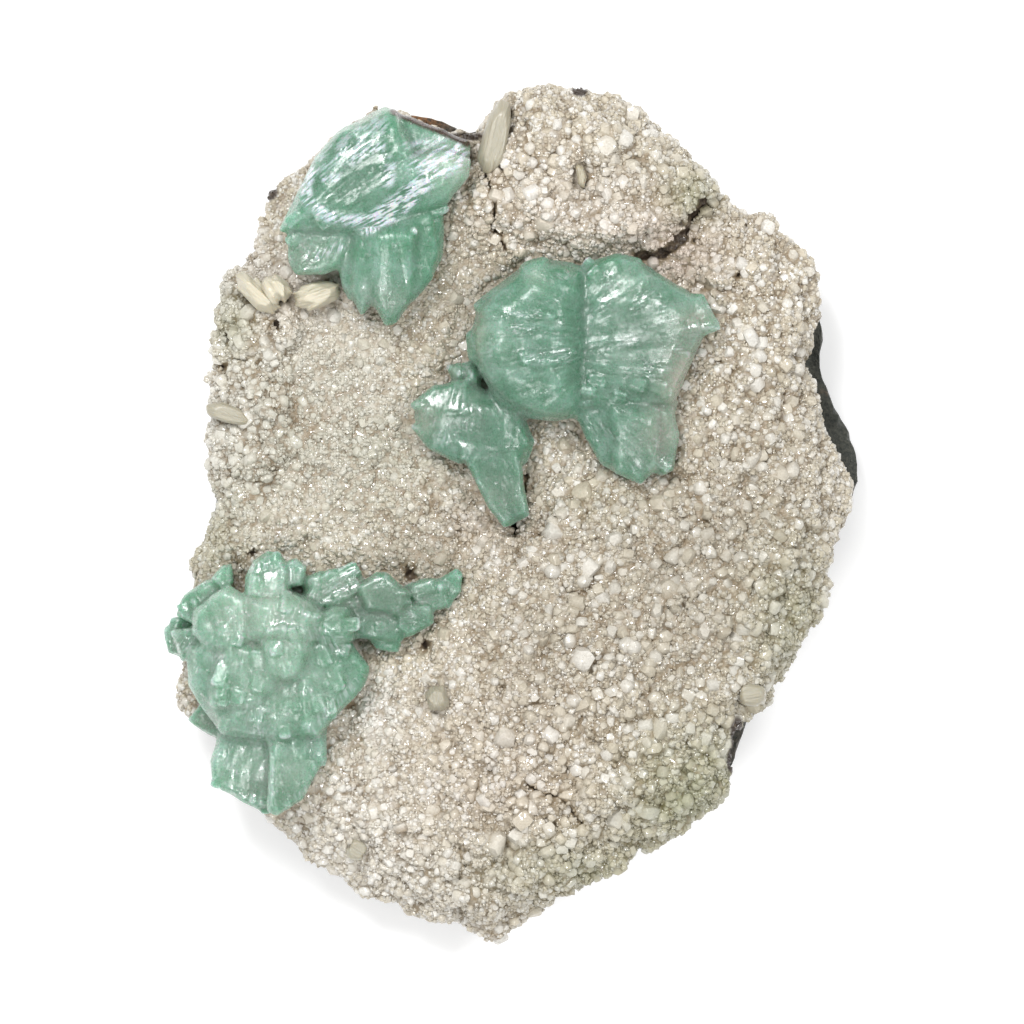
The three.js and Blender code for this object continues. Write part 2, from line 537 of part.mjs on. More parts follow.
const apophyllites = [
  ['apophyllite_upper_left', grownOnCrust(UPPER_LEFT_CRYSTALS)],
  ['apophyllite_centre', grownOnCrust([
    ...CENTRE_LEFT_LOBE, ...CENTRE_RIGHT_LOBE, ...CENTRE_FOOT, ...SMALL_CENTRE_CLUSTER,
  ])],
  ['apophyllite_lower_left', grownOnCrust([...LOWER_LEFT_CROWN, ...LOWER_LEFT_CHAIN])],
];
const stilbites = STILBITE_BLADES.map(([name, footprint, rise, lean]) => (
  [name, grownOnCrust([[footprint, rise, lean, LOW_LEAF]])]
));
const crystals = [...apophyllites, ...stilbites].map(([, solid]) => solid);

const cluster = new THREE.Group();
cluster.name = 'apophyllite_cluster';
cluster.add(
  toMesh('basalt_matrix', basaltSolid(), BASALT),
  toMesh('heulandite_crust', crustSolid(crystals), HEULANDITE),
  ...apophyllites.map(([name, solid]) => toMesh(name, solid, APOPHYLLITE)),
  ...stilbites.map(([name, solid]) => toMesh(name, solid, STILBITE)),
);

export default cluster;
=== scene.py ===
"""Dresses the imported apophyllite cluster: glassy green sheaves, a sugary druse, cream blades and rock."""

import itertools
import math

import bmesh
import bpy
import numpy as np
from bpy.props import FloatProperty, FloatVectorProperty, IntProperty, PointerProperty
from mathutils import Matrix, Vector
from mathutils.bvhtree import BVHTree
from mathutils.kdtree import KDTree


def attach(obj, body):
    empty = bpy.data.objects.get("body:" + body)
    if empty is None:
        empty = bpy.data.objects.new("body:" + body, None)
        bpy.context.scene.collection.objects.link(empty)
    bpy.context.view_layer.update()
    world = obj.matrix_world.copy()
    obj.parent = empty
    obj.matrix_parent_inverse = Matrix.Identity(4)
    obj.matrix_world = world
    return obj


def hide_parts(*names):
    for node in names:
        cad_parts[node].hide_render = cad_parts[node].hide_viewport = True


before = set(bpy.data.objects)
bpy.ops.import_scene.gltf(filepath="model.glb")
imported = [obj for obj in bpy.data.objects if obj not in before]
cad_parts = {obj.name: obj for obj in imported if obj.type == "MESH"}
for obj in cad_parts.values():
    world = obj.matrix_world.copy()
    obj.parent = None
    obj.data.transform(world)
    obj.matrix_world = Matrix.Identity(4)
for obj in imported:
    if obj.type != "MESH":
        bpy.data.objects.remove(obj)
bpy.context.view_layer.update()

bl_info = {
    "name": "Apophyllite Cluster",
    "version": (1, 0, 0),
    "blender": (4, 5, 0),
    "location": "3D View > Sidebar > Specimen",
    "description": "Dresses a mineral specimen with crystals, druse and rock",
    "category": "Add Mesh",
}

MM = 0.001
UP = np.array((0.0, 0.0, 1.0))
WHITE = (1.0, 1.0, 1.0, 1.0)

# Passes that round off the crust, the crystals where their edges are measured, a blade and a sheaf
CRUST_SMOOTHING = 3
EDGE_SMOOTHING = 6
BLADE_SMOOTHING = 60
SHEAF_SMOOTHING = 12
# A skin is cut finely, and grains are strewn, as far under a crystal's rim as this
FINE_MARGIN = 4 * MM
GRAIN_MARGIN = 2.2 * MM
# Grains keep out of pits deeper than this
PIT_LIMIT = 0.9 * MM
# The grains are one mesh for each band of the crust, from the bottom to the top
BAND_EDGES = [-34 * MM, 0, 34 * MM]
# How far the small crystals turn upward, how much their turns vary, and how deep they root
UPRIGHT = 0.6
UNEVENNESS = 0.16
ROOTING = 0.27

# ------------------------------------------------------------------ places, in millimetres

# Soft zones are rows of x, y, reach along x, reach along y and amount

# Where the crust is coarser, stained, rosy or grey
COARSE_ZONES = [
    (30, -18, 34, 40, 0.9), (6, -62, 34, 20, 0.8), (-54, 22, 9, 26, 0.8), (12, 66, 34, 14, 0.9),
    (48, 30, 14, 26, 0.6),
]
OLIVE_ZONES = [
    (38, -56, 16, 14, 1.0), (56, -22, 9, 16, 0.7), (14, -72, 22, 8, 0.7), (36, 63, 6, 6, 0.8),
    (-56, 38, 5, 8, 0.7), (-62, -6, 7, 8, 0.5), (-20, 47, 7, 6, 0.3), (18, 2, 8, 6, 0.2),
]
ROSE_ZONES = [
    (33, 52, 9, 8, 1.0), (-5, -2, 10, 8, 0.5), (0, -55, 22, 22, 0.35), (-44, 44, 12, 8, 0.4),
    (10, 60, 30, 14, 0.3),
]
GREY_ZONES = [
    (-40, 18, 18, 22, 0.8), (-20, 6, 14, 16, 0.6), (-56, 2, 8, 12, 0.6), (24, 70, 8, 8, 0.4),
    (-30, 79, 5, 2.4, 1.0),
]
# Painted light and shade: where the crust is painted duller, and where it is painted brighter
DULL_ZONES = [
    (34, -14, 22, 26, 0.7), (52, 12, 12, 18, 0.3), (-20, -10, 8, 6, 1.0), (-10, 44, 8, 10, 0.5),
    (-16, 28, 8, 10, 0.4), (4, -24, 12, 18, 0.4), (62, 28, 6, 8, 0.4),
]
BRIGHT_ZONES = [
    (-54, 44, 8, 8, 0.9), (-58, 14, 8, 16, 0.7), (-27, -40, 5, 6, 1.0), (-30, -62, 14, 14, 0.5),
    (14, 60, 12, 8, 0.4), (-10, -74, 12, 8, 0.5), (-39.7, 47, 6, 3, 1.0), (-38, 22, 20, 20, 0.55),
]
# Ground without grains: a smooth grey crystal on the rim, and the place around a small leaf
PLAIN_ZONES = [(-30, 79, 5, 2.4, 1.0), (13.4, 66.4, 1.9, 3.6, 1.0)]
# Where the crust is missing
BARE_ZONES = [
    (-48.4, 63.8, 1.8, 2, 1.2), (13.4, 83.6, 1.8, 1.3, 1.2), (-9, 74.6, 8, 1.2, 0.8),
    (44.8, -44, 1.3, 3.5, 1.3), (43.8, -50, 1, 2.5, 1.2),
]

# The rims where the rock swells out beside the crust, and how far the crust stays back there
OPEN_RIM = [(66, 19, 6, 12, 1.0), (45, -45, 5, 8, 0.8), (-16, 76, 9, 4, 0.6)]
HELD_BACK = [(62, 30, 4.5, 8, 1.9), (65, 17, 4, 5, 1.1), (45, -45, 3, 4, 0.8)]

# Where the rock is rusty
RUST_ZONES = [(-20, 78, 7, 3, 1.0), (45, -48, 5, 5, 0.1)]

# How much higher the crust stands, close up to a crystal
RAISED = [(-38.5, 46.6, 4.5, 1.8, 2.2)]

# Pits of the crust: middle, radius and depth
PITS = [
    ((-46.2, 42.4), 1.0, 2.6), ((-52, 38.8), 1.3, 2.2), ((-47.2, 37.2), 1.6, 2.4), ((-56.5, 34.5), 1.0, 1.8),
    ((-50.5, 29.6), 0.9, 1.8), ((-57.6, 29), 0.8, 1.6), ((37.6, 62.2), 1.4, 2.6), ((33, 57.4), 1.1, 1.8),
    ((36, 54), 0.9, 1.8), ((45.2, 47.4), 0.9, 1.8), ((57, 45), 0.8, 1.4), ((55, 37), 0.7, 1.4),
    ((-33, -38.6), 1.2, 2.0), ((-20.6, -12.6), 1.6, 2.4), ((-18, -26), 1.2, 2.0), ((2.4, 7), 0.8, 1.8),
    ((0.6, -2.4), 1.6, 2.0), ((-52, -8.4), 0.8, 1.6),
]
# Cracks: the line of each, its half width and its depth
CRACKS = [
    ([(-6, 68.5), (-4.4, 65), (-3.4, 60), (-4.2, 56.4), (-1, 52.6)], 0.22, 1.6),
    ([(3.2, 8), (2.2, 4.4), (2.8, 0.6)], 0.25, 1.6),
    ([(2.4, -54), (6, -56.2), (9.4, -56.4), (12, -60), (16.4, -64.6)], 0.2, 1.4),
    ([(25, 50.4), (30, 51.2), (33.4, 54.6), (35.4, 58.8), (38, 62)], 0.8, 2.2),
]

# Where the blades are palest, and where they are the colour of honey
PALE_SHEAF_ZONES = [(-46, 42, 14, 10, 1.2), (13, 66, 4, 6, 0.7)]
HONEY_ZONES = [(13, 66, 4, 6, 0.45)]

# Sheaves of apophyllite: the middle of each, how far it reaches, the root that its blades leave from, and
# the radius at which they keep their true width
FANS = [
    ((-28, 68), 14, (-75, 34), 50), ((-26, 46), 12, (-27, 72), 26), ((2, 34), 12, (26, 35), 26),
    ((25, 36), 13, (0, 30), 26), ((23, 13), 9, (9, 28), 20), ((-10, 19), 9, (-6, 44), 24),
    ((-2, 4), 7, (-14, 32), 30), ((-48, -34), 16, (-48, -2), 32), ((-50, -18), 12, (-50, -46), 28),
    ((-50, -52), 10, (-49, -20), 32), ((-24, -18), 14, (-52, -24), 28),
]
# How many small crystals grow on a cluster, as a share of those on the most broken one
BROKENNESS = {"apophyllite_upper_left": 0.35, "apophyllite_centre": 0.5, "apophyllite_lower_left": 1.0}
# Small crystals that close the rim of a cluster: middle and width
RIM_CRYSTALS = {"apophyllite_lower_left": [((-66, -22.6, 24), 4.4)]}
# Faces that stay whole: no small crystals grow there
WHOLE_FACES = [
    (4, 48, 6, 4, 1.4), (-25, 45, 12, 8, 1.4), (-9, 19, 8, 6, 1.2), (26, 35, 10, 10, 1.2),
    (22, 13, 8, 7, 1.2), (-31, 65, 10, 9, 1.2), (-1, 2, 5, 9, 1.4), (-54, -51, 5, 6, 1.0),
    (-43, -53, 4, 5, 1.0), (-54, -33, 4, 4, 1.0),
]
# Faces that shed the small crystals that grew there
CLEARED_FACES = [(3, 24, 7, 4.5, 1.4)]
# Where the crystals' faces round off into domes
ROUNDED_ZONES = [
    (-30, 66, 14, 13, 1.5), (2.5, 34, 9, 14, 1.3), (23, 37, 10, 12, 1.1), (12.5, 31, 6, 15, 1.6),
    (22, 19, 10, 4, 0.9), (24, 13, 7, 5, 0.6), (-50, -46, 12, 3, 1.0), (-11, 16, 8, 8, 0.8),
    (-47, -31, 15, 10, 1.0), (-27, 47, 10, 9, 0.8),
]
# Where the crystals are deep green, and where they are milky
DEEP_ZONES = [
    (-16, 56, 4, 4, 1.2), (-34.5, -31, 4, 6, 1.3), (-57, -12, 2.5, 2.5, 0.8), (-30, 64, 8, 6, 0.9),
    (-16, 55, 4, 8, 0.9), (-24, 77, 5, 4, 0.4), (9, 42, 6, 7, 0.6), (12.5, 31, 3, 13, 0.9),
    (2, 23, 6, 3, 0.4), (36, 44, 5, 2, 0.7), (-1, 8, 3, 5, 0.5), (-3, 16, 3, 5, 0.4),
    (-62, -17, 6, 4, 1.0), (-38, -27, 5, 3, 0.7), (-34, -40, 4, 5, 0.6), (-45, -41, 4, 4, 0.5),
    (-54, -24.5, 2, 2, 0.6), (-37, -18, 2, 2, 0.8),
]
MILKY_ZONES = [
    (-12, 69, 6, 5, 0.6), (-38, 51, 6, 4, 0.6), (-27, 42, 9, 4, 0.3), (5, 46, 2.5, 3, 0.9),
    (27, 34, 9, 9, 0.8), (22, 45, 5, 4, 0.5), (26, 12, 7, 6, 0.6), (-3, 33, 4, 8, 0.35),
    (3, 20, 5, 2, 0.5), (-7, 19, 2, 7, 0.5), (-14, 20, 5, 5, 0.3), (-11, 28, 3, 2, 0.6),
    (-50, -21, 9, 6, 0.5), (-53, -51, 6, 6, 0.5), (-43, -52, 4, 4, 0.5), (-33, -15, 6, 3, 0.8),
    (-22, -17, 8, 4, 0.5), (-4, 3.5, 2, 3, 0.6),
]
# Painted light and shade: parts of the crystals painted brighter, and parts painted duller, with fewer
# sprinkled glints
CRYSTAL_BRIGHT_ZONES = [(-48, -32, 15, 16, 0.6), (-12, 68, 6, 5, 0.8), (-50, -18, 12, 6, 0.6)]
CRYSTAL_DULL_ZONES = [
    (8, 32, 16, 16, 0.5), (26, 32, 12, 16, 0.8), (23, 12, 10, 8, 0.6), (-6, 14, 9, 14, 0.7),
    (-24, -18, 10, 7, 0.6), (-31, 66, 9, 9, 0.9), (-26, 43, 9, 7, 0.2), (-15, 21, 5, 5, 0.3),
    (1, -1, 2.5, 2, 0.9),
]
# Where a crystal is so thin that the crust shows through
THIN_ZONES = [
    (34, 26, 4, 6, 1.1), (37, 38, 4, 2.5, 0.6), (30, 16, 4, 5, 0.5), (-17.5, 18.5, 2.5, 4, 0.5),
    (-31.5, 78.8, 4, 1.8, 1.5), (-10, 70, 3, 3, 0.4), (-6.5, 36, 1.5, 5, 0.5),
]
# Rusty rock that clings to a crystal's rim
STAINS = [([(-23.4, 79), (-20, 77.6), (-16, 76), (-12, 74.4), (-9, 73)], 0.8)]
# Where the crystals are greyish
SMOKY_ZONES = [
    (34, 30, 5, 8, 0.7), (30, 14, 5, 7, 0.7), (-2, 4, 5, 8, 0.9), (-12, 20, 7, 6, 0.5),
    (-26, -18, 14, 7, 0.7), (-48, -56, 9, 5, 0.5), (-24, 41, 8, 4, 0.6), (-42, 50, 4, 4, 0.7),
    (-61, -42, 4, 3, 0.9), (-67, -26, 2, 4, 0.8),
]
# Painted sheen: silvery highlight bands of fine strokes on upward faces: the line of each band, its half
# width and its amount
SHEENS = [
    ([(-12.9, 69.1), (-18.1, 64.6), (-22.7, 60.6), (-26.7, 57.7)], 1.6, 1.0),
    ([(-26.7, 57.7), (-32.4, 57.3), (-36.9, 58.3), (-40.4, 61.2), (-40.8, 64.6), (-39.2, 67.8)], 1.0, 0.9),
    ([(-15, 66.6), (-22, 59), (-29, 55.4)], 0.9, 1.0), ([(-37, 69.5), (-32, 72), (-27, 75.5)], 2.6, 0.4),
    ([(-24, 68.7), (-24.3, 65)], 1.0, 0.7), ([(-37, 65.7), (-34.6, 65.7)], 0.8, 0.7),
    ([(-17, 68), (-12, 70.5)], 3.0, 0.95), ([(-40, 50), (-34, 52.4)], 0.8, 0.4),
    ([(-31, 69.6), (-26, 72)], 1.0, 0.7), ([(-21, 72), (-15, 73.5)], 0.7, 0.5),
]
# Where small broken facets glint, with a painted highlight and a glossier coat: the line of each place, its
# half width and its amount
GLINTS = [
    ([(-17, 66), (-22, 61), (-27, 57.6)], 1.0, 1.0), ([(-39, 59.5), (-40.6, 62)], 1.0, 1.0),
    ([(-33, 71), (-29, 72)], 1.6, 0.7), ([(-25, 65), (-25, 70)], 1.0, 0.6),
    ([(-40, 50.4), (-34, 52)], 1.2, 1.0), ([(0.5, 36), (3.5, 36)], 1.0, 1.0),
    ([(-3, 38.8), (5, 39)], 0.7, 1.0), ([(-4.5, 34), (-4.5, 31)], 0.5, 1.0),
    ([(3, 30.5), (10.5, 31)], 1.2, 1.0), ([(8, 46), (12, 47)], 0.8, 1.0), ([(18, 41), (20, 43)], 0.8, 1.0),
    ([(18.5, 45), (19, 46.5)], 1.0, 0.6), ([(24, 40), (25.5, 42.5), (28.5, 43), (29.5, 41)], 0.8, 0.7),
    ([(26, 36), (29.5, 38)], 0.6, 0.5), ([(17, 31), (20, 33.5), (24, 34)], 0.9, 0.5),
    ([(35, 36), (40, 36.4)], 1.0, 1.0), ([(32.5, 32.4), (34.5, 31.2)], 0.7, 1.0),
    ([(27, 28), (30, 28.6)], 1.2, 1.0), ([(14.4, 18.6), (16.4, 14)], 0.5, 1.0),
    ([(18, 17), (20.5, 14.4)], 0.6, 1.0), ([(28, 14), (28.6, 13)], 0.5, 1.0),
    ([(24, 8.5), (31, 10)], 0.8, 0.6), ([(-17.4, 21.6), (-14.6, 22)], 1.0, 0.5),
    ([(-17.4, 19.8), (-15.6, 17.8)], 0.9, 0.6), ([(-11.6, 21), (-7, 20)], 0.8, 1.0),
    ([(-9.2, 17), (-7.8, 16.6)], 0.8, 1.0), ([(-14.8, 14.8), (-12, 14.4)], 1.1, 1.0),
    ([(-10.4, 13.6), (-9.6, 13.6)], 0.6, 1.0), ([(-13, 28.4), (-9, 27)], 0.8, 1.0),
    ([(-47, -21.4), (-45, -21.6)], 1.8, 1.0), ([(-42, -19.4), (-39, -19.6)], 1.4, 1.0),
    ([(-38.5, -24.4), (-34.5, -26.2)], 1.7, 1.0), ([(-67, -26), (-64.6, -26.8)], 1.4, 1.0),
    ([(-59, -29), (-57.4, -29)], 0.9, 1.0), ([(-50.4, -10.4), (-48.6, -11.8)], 1.7, 1.0),
    ([(-45.4, -12.2), (-43, -11.6)], 0.9, 1.0), ([(-51.5, -38.5), (-50.5, -45)], 1.6, 1.0),
    ([(-42, -35.4), (-40.6, -35.6)], 0.9, 1.0), ([(-57, -48), (-55.5, -52.5)], 0.7, 1.0),
    ([(-55.6, -55.8), (-52, -56.8)], 0.8, 1.0), ([(-47.5, -48.5), (-47.4, -58.5)], 0.6, 1.0),
    ([(-44, -57), (-40.6, -55)], 0.6, 1.0), ([(-35.4, -15), (-31, -13.6)], 1.6, 1.0),
    ([(-26.6, -14.4), (-25.6, -14.4)], 0.7, 1.0), ([(-20.4, -20.6), (-19.4, -21.8)], 0.8, 1.0),
    ([(-56, -19.5), (-54, -24.5)], 0.7, 1.0), ([(-40, -43), (-31, -34)], 0.9, 1.0),
]


# ------------------------------------------------------------------ settings


def length(name, description, millimetres):
    """A length that a user may change, shown in the scene's own unit."""
    return FloatProperty(
        name=name, description=description, default=millimetres * MM, min=0, unit="LENGTH", precision=5
    )


def share(name, description, default):
    """A share between 0 and 1 that a user may change."""
    return FloatProperty(name=name, description=description, default=default, min=0, max=1, subtype="FACTOR")


def tint(name, description, default):
    """A colour that a user may change, in linear light."""
    return FloatVectorProperty(
        name=name, description=description, default=default, size=3, min=0, max=1, subtype="COLOR"
    )


class DruseSettings(bpy.types.PropertyGroup):
    """Sizes and colours of the heulandite crust."""

    skin_cell: length("Skin Cell", "Facet size of the crust where it is hidden", 1.62)
    skin_cuts: IntProperty(name="Skin Cuts", description="Cuts across a facet that is seen", default=2, min=0)
    lump_pitch: length("Lump Pitch", "Spacing of the largest rounded lumps", 6.0)
    lump_height: length("Lump Height", "Height of the largest rounded lumps", 2.1)
    nodule_height: length("Nodule Height", "Height of the nodules on the lumps", 1.4)
    bead_height: length("Bead Height", "Height of the beads on the nodules", 0.45)
    sink: length("Sink", "How far the lumps are pressed into the crust", 2.3)
    grain_size: length("Fine Grain", "Width of a fine grain", 1.2)
    grain_share: share("Grains", "Share of places on the crust that hold a fine grain", 0.46)
    block_size: length("Nodule Crystal", "Width of a large smooth crystal", 2.6)
    block_share: share("Nodules", "Share of places that hold a smooth crystal, where they are dense", 0.085)
    cream: tint("Cream", "Colour of most grains", (0.53, 0.477, 0.375))
    # Pale is also the painted light where the crust is painted brighter
    pale: tint("Pale", "Colour of the whitest grains", (0.7, 0.68, 0.63))
    rose: tint("Rose", "Colour of the pinkish grains", (0.53, 0.45, 0.385))
    grey: tint("Grey", "Colour of the greenish grey grains", (0.44, 0.43, 0.35))
    # Painted shade where the crust is painted duller
    dull_shade: tint("Dull", "Colour of the duller grains", (0.37, 0.34, 0.275))
    olive: tint("Olive", "Colour of the stained grains", (0.32, 0.325, 0.215))
    # Painted shade between the grains and at their roots; the same colour also marks fine dust specks
    crevice_shade_and_dust: tint("Crevice", "Colour between the grains", (0.26, 0.2, 0.13))
    # Painted shade between the stained grains
    stained_crevice_shade: tint("Moss", "Colour between the stained grains", (0.17, 0.165, 0.07))
    # Painted shade deep in the cracks and pits; the same colour is the dark rock where the crust is missing
    pit_shade_and_bare_rock: tint("Pit", "Colour deep in the cracks and pits", (0.05, 0.035, 0.025))


class ApophylliteSettings(bpy.types.PropertyGroup):
    """Sizes and colours of the green sheaves."""

    skin_cell: length("Skin Cell", "Facet size of the crystals' faces", 0.34)
    facet_pitch: length("Facet Pitch", "Width of the flat facets", 3.4)
    facet_rise: length("Facet Rise", "Height of the ridges between the flat facets", 0.4)
    swell: length("Swell", "Height of the soft swells of the faces", 0.3)
    ridge: length("Ridge", "Height of the ridges between the blades of a sheaf", 0.16)
    outgrowth_width: length("Outgrowth Width", "Width of the small crystals on the big ones", 2.5)
    outgrowth_count: IntProperty(
        name="Outgrowths", description="Small crystals on the most broken cluster", default=90, min=0
    )
    root_depth: length("Root Depth", "How far the crystals reach into the crust", 1.6)
    rounding: IntProperty(name="Rounding", description="Passes that round the domes off", default=140, min=0)
    mint: tint("Mint", "Colour of the cloudy crystal", (0.28, 0.45, 0.37))
    # Deep green is also the painted shade in the creases between facets
    deep: tint("Deep Green", "Colour of the clearest, greenest crystal", (0.13, 0.31, 0.2))
    # Milk is also the painted light where the crystal is painted brighter and on steep faces
    milk: tint("Milk", "Colour of the milky tips", (0.42, 0.55, 0.45))
    smoke: tint("Smoke", "Colour of the greyish parts", (0.21, 0.255, 0.2))
    sand: tint("Sand", "Colour where the crust shows through", (0.45, 0.45, 0.375))
    rim: tint("Rim", "Colour of the rusty rock on a rim", (0.07, 0.04, 0.025))
    # Painted shade where the crystal is painted duller; the same colour marks the dark specks
    shade_and_specks: tint("Shade", "Colour of the duller parts", (0.1, 0.2, 0.14))
    # Painted highlight on glinting facets and along ridges
    glint_highlight: tint("Frost", "Colour of the scratched and broken faces", (0.72, 0.82, 0.8))
    # Painted highlight of the silvery sheen bands
    sheen_highlight: tint("Silver", "Colour of the silvery bands", (0.86, 0.9, 1.0))
    absorption: tint("Absorption", "Colour that the crystal leaves to the light", (0.3, 0.75, 0.55))


class StilbiteSettings(bpy.types.PropertyGroup):
    """Sizes and colours of the cream blades."""

    skin_cell: length("Skin Cell", "Facet size of the blades' faces", 0.24)
    ridge_pitch: length("Ridge Pitch", "Spacing of the lengthwise ridges", 0.6)
    ridge_height: length("Ridge Height", "Height of the lengthwise ridges", 0.16)
    leaves: IntProperty(name="Leaves", description="Thin leaves that fan out in a sheaf", default=6, min=0)
    cream: tint("Cream", "Colour of a blade's face", (0.35, 0.325, 0.25))
    pale: tint("Pale", "Colour of the palest sheaves", (0.55, 0.51, 0.395))
    honey: tint("Honey", "Colour along a blade's edges", (0.27, 0.23, 0.15))


class BasaltSettings(bpy.types.PropertyGroup):
    """Sizes and colours of the rock."""

    skin_cell: length("Skin Cell", "Facet size of the rock's broken faces", 1.35)
    chip_pitch: length("Chip Pitch", "Width of the flat chips of the broken face", 7.0)
    chip_depth: length("Chip Depth", "Depth of the chips", 2.0)
    bulge: length("Bulge", "How far the sides swell between the chips", 2.1)
    rock: tint("Rock", "Colour of the rock", (0.045, 0.05, 0.043))
    worn: tint("Worn", "Colour of the weathered rock", (0.13, 0.13, 0.105))
    rust: tint("Rust", "Colour of the rust stains", (0.3, 0.13, 0.04))
    blebs: tint("Blebs", "Colour of the filled gas bubbles", (0.5, 0.5, 0.42))


class StageSettings(bpy.types.PropertyGroup):
    """Floor, lights and camera."""

    floor: tint("Floor", "Colour of the floor", (0.94, 0.94, 0.94))
    glow: FloatProperty(name="Glow", description="Light that the floor gives off", default=0.2, min=0)
    sky: FloatProperty(name="Sky", description="Strength of the light from all around", default=0.6, min=0)
    key: FloatProperty(name="Key", description="Strength of the key light", default=3.1, min=0, unit="POWER")
    lens: FloatProperty(
        name="Lens", description="Focal length of the camera", default=300, min=10, unit="CAMERA"
    )
    view_width: length("View Width", "Width that the camera sees at the crust's height", 204.8)


# ------------------------------------------------------------------ chance and noise


def hashed(cells, seed):
    """One chance value between 0 and 1 for every row of three whole numbers."""
    mixed = (cells[:, 0] * 73856093) ^ (cells[:, 1] * 19349663) ^ (cells[:, 2] * 83492791)
    mixed = (mixed + seed * 668265263) * 374761393
    mixed = (mixed ^ (mixed >> 13)) * 1274126177
    return ((mixed ^ (mixed >> 16)) & 0xFFFFFF) / 0xFFFFFF


def rolling(points, pitch, seed=0):
    """Smooth noise between -1 and 1 at every point."""
    scaled = points / pitch
    low = np.floor(scaled).astype(np.int64)
    eased = scaled - low
    eased = eased * eased * (3 - 2 * eased)
    total = np.zeros(len(points))
    for corner in itertools.product((0, 1), repeat=3):
        weights = np.where(corner, eased, 1 - eased).prod(axis=1)
        total += weights * hashed(low + corner, seed)
    return total * 2 - 1


def cellular(points, pitch, seed=0):
    """Distance from every point to its nearest scattered seed and to the next one, in pitches."""
    scaled = points / pitch
    low = np.floor(scaled).astype(np.int64)
    nearest = np.full(len(points), 9.0)
    second = np.full(len(points), 9.0)
    for offset in itertools.product((-1, 0, 1), repeat=3):
        cell = low + offset
        spots = cell + np.stack([hashed(cell, seed + axis) for axis in range(3)], axis=1)
        distance = np.linalg.norm(spots - scaled, axis=1)
        second = np.minimum(second, np.maximum(nearest, distance))
        nearest = np.minimum(nearest, distance)
    return nearest, second


def smooth(low, high, values):
    """A soft step from 0 at low to 1 at high."""
    eased = np.clip((values - low) / (high - low), 0, 1)
    return eased * eased * (3 - 2 * eased)


def zone_sum(points, zones):
    """The sum of the amounts that soft zones have at every point."""
    total = np.zeros(len(points))
    for x, y, reach_x, reach_y, amount in zones:
        run = (points[:, :2] / MM - (x, y)) / (reach_x, reach_y)
        total += amount * np.exp(-(run**2).sum(axis=1))
    return total


def zone_share(points, zones):
    """How much every point belongs to soft zones, from 0 to 1."""
    return np.clip(zone_sum(points, zones), 0, 1)


def line_distance(points, line):
    """Distance from every point to a line of corners, as seen from above."""
    nearest = np.full(len(points), np.inf)
    places = points[:, :2]
    for start, end in itertools.pairwise(np.array(line) * MM):
        run = end - start
        along = np.clip((places - start) @ run / (run @ run), 0, 1)
        nearest = np.minimum(nearest, np.linalg.norm(places - start - along[:, None] * run, axis=1))
    return nearest


# ------------------------------------------------------------------ meshes


def mesh_points(mesh):
    """A mesh's vertices and their normals."""
    points = np.empty(len(mesh.vertices) * 3, np.float32)
    normals = np.empty(len(mesh.vertices) * 3, np.float32)
    mesh.vertices.foreach_get("co", points)
    mesh.vertices.foreach_get("normal", normals)
    return points.reshape(-1, 3).astype(float), normals.reshape(-1, 3).astype(float)


def mesh_triangles(mesh):
    """A mesh's triangles, as rows of three vertices."""
    mesh.calc_loop_triangles()
    triangles = np.empty(len(mesh.loop_triangles) * 3, np.int32)
    mesh.loop_triangles.foreach_get("vertices", triangles)
    return triangles.reshape(-1, 3)


def move_points(mesh, points):
    """Moves a mesh's vertices to new places."""
    mesh.vertices.foreach_set("co", points.astype(np.float32).ravel())
    mesh.update()


def mesh_of(name, shapes):
    """One mesh that holds every shape, each given as its points and its triangles."""
    counts = np.cumsum([0] + [len(points) for points, _ in shapes])
    points = np.concatenate([points for points, _ in shapes])
    corners = np.concatenate([triangles + first for (_, triangles), first in zip(shapes, counts)])
    mesh = bpy.data.meshes.new(name)
    mesh.vertices.add(len(points))
    mesh.vertices.foreach_set("co", points.astype(np.float32).ravel())
    mesh.loops.add(corners.size)
    mesh.loops.foreach_set("vertex_index", corners.astype(np.int32).ravel())
    mesh.polygons.add(len(corners))
    mesh.polygons.foreach_set("loop_start", np.arange(0, corners.size, 3, dtype=np.int32))
    mesh.update(calc_edges=True)
    return mesh


def node_shape(node):
    """The points and triangles of a CAD node."""
    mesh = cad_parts[node].data
    return mesh_points(mesh)[0], mesh_triangles(mesh)


def hull(points):
    """The points and triangles of the convex hull of some points."""
    solid = bmesh.new()
    for point in points:
        solid.verts.new(point)
    bmesh.ops.convex_hull(solid, input=solid.verts)
    inner = [vertex for vertex in solid.verts if not vertex.link_faces]
    bmesh.ops.delete(solid, geom=inner, context="VERTS")
    bmesh.ops.triangulate(solid, faces=solid.faces)
    bmesh.ops.recalc_face_normals(solid, faces=solid.faces)
    solid.verts.index_update()
    shape = (
        np.array([vertex.co for vertex in solid.verts]),
        np.array([[vertex.index for vertex in face.verts] for face in solid.faces]),
    )
    solid.free()
    return shape


def finished(mesh, kind, **settings):
    """A new mesh: the old one after a single modifier."""
    block = bpy.data.objects.new(mesh.name, mesh)
    bpy.context.scene.collection.objects.link(block)
    modifier = block.modifiers.new(kind, kind)
    for key, value in settings.items():
        setattr(modifier, key, value)
    graph = bpy.context.evaluated_depsgraph_get()
    made = bpy.data.meshes.new_from_object(block.evaluated_get(graph))
    bpy.data.objects.remove(block)
    bpy.data.meshes.remove(mesh)
    return made


def smoothed(mesh, passes):
    """The mesh after some passes that round it off."""
    return finished(mesh, "SMOOTH", factor=0.5, iterations=passes)


def skin(name, shapes, cell):
    """One closed skin of even facets around shapes that overlap."""
    return finished(mesh_of(name, shapes), "REMESH", mode="VOXEL", voxel_size=cell)


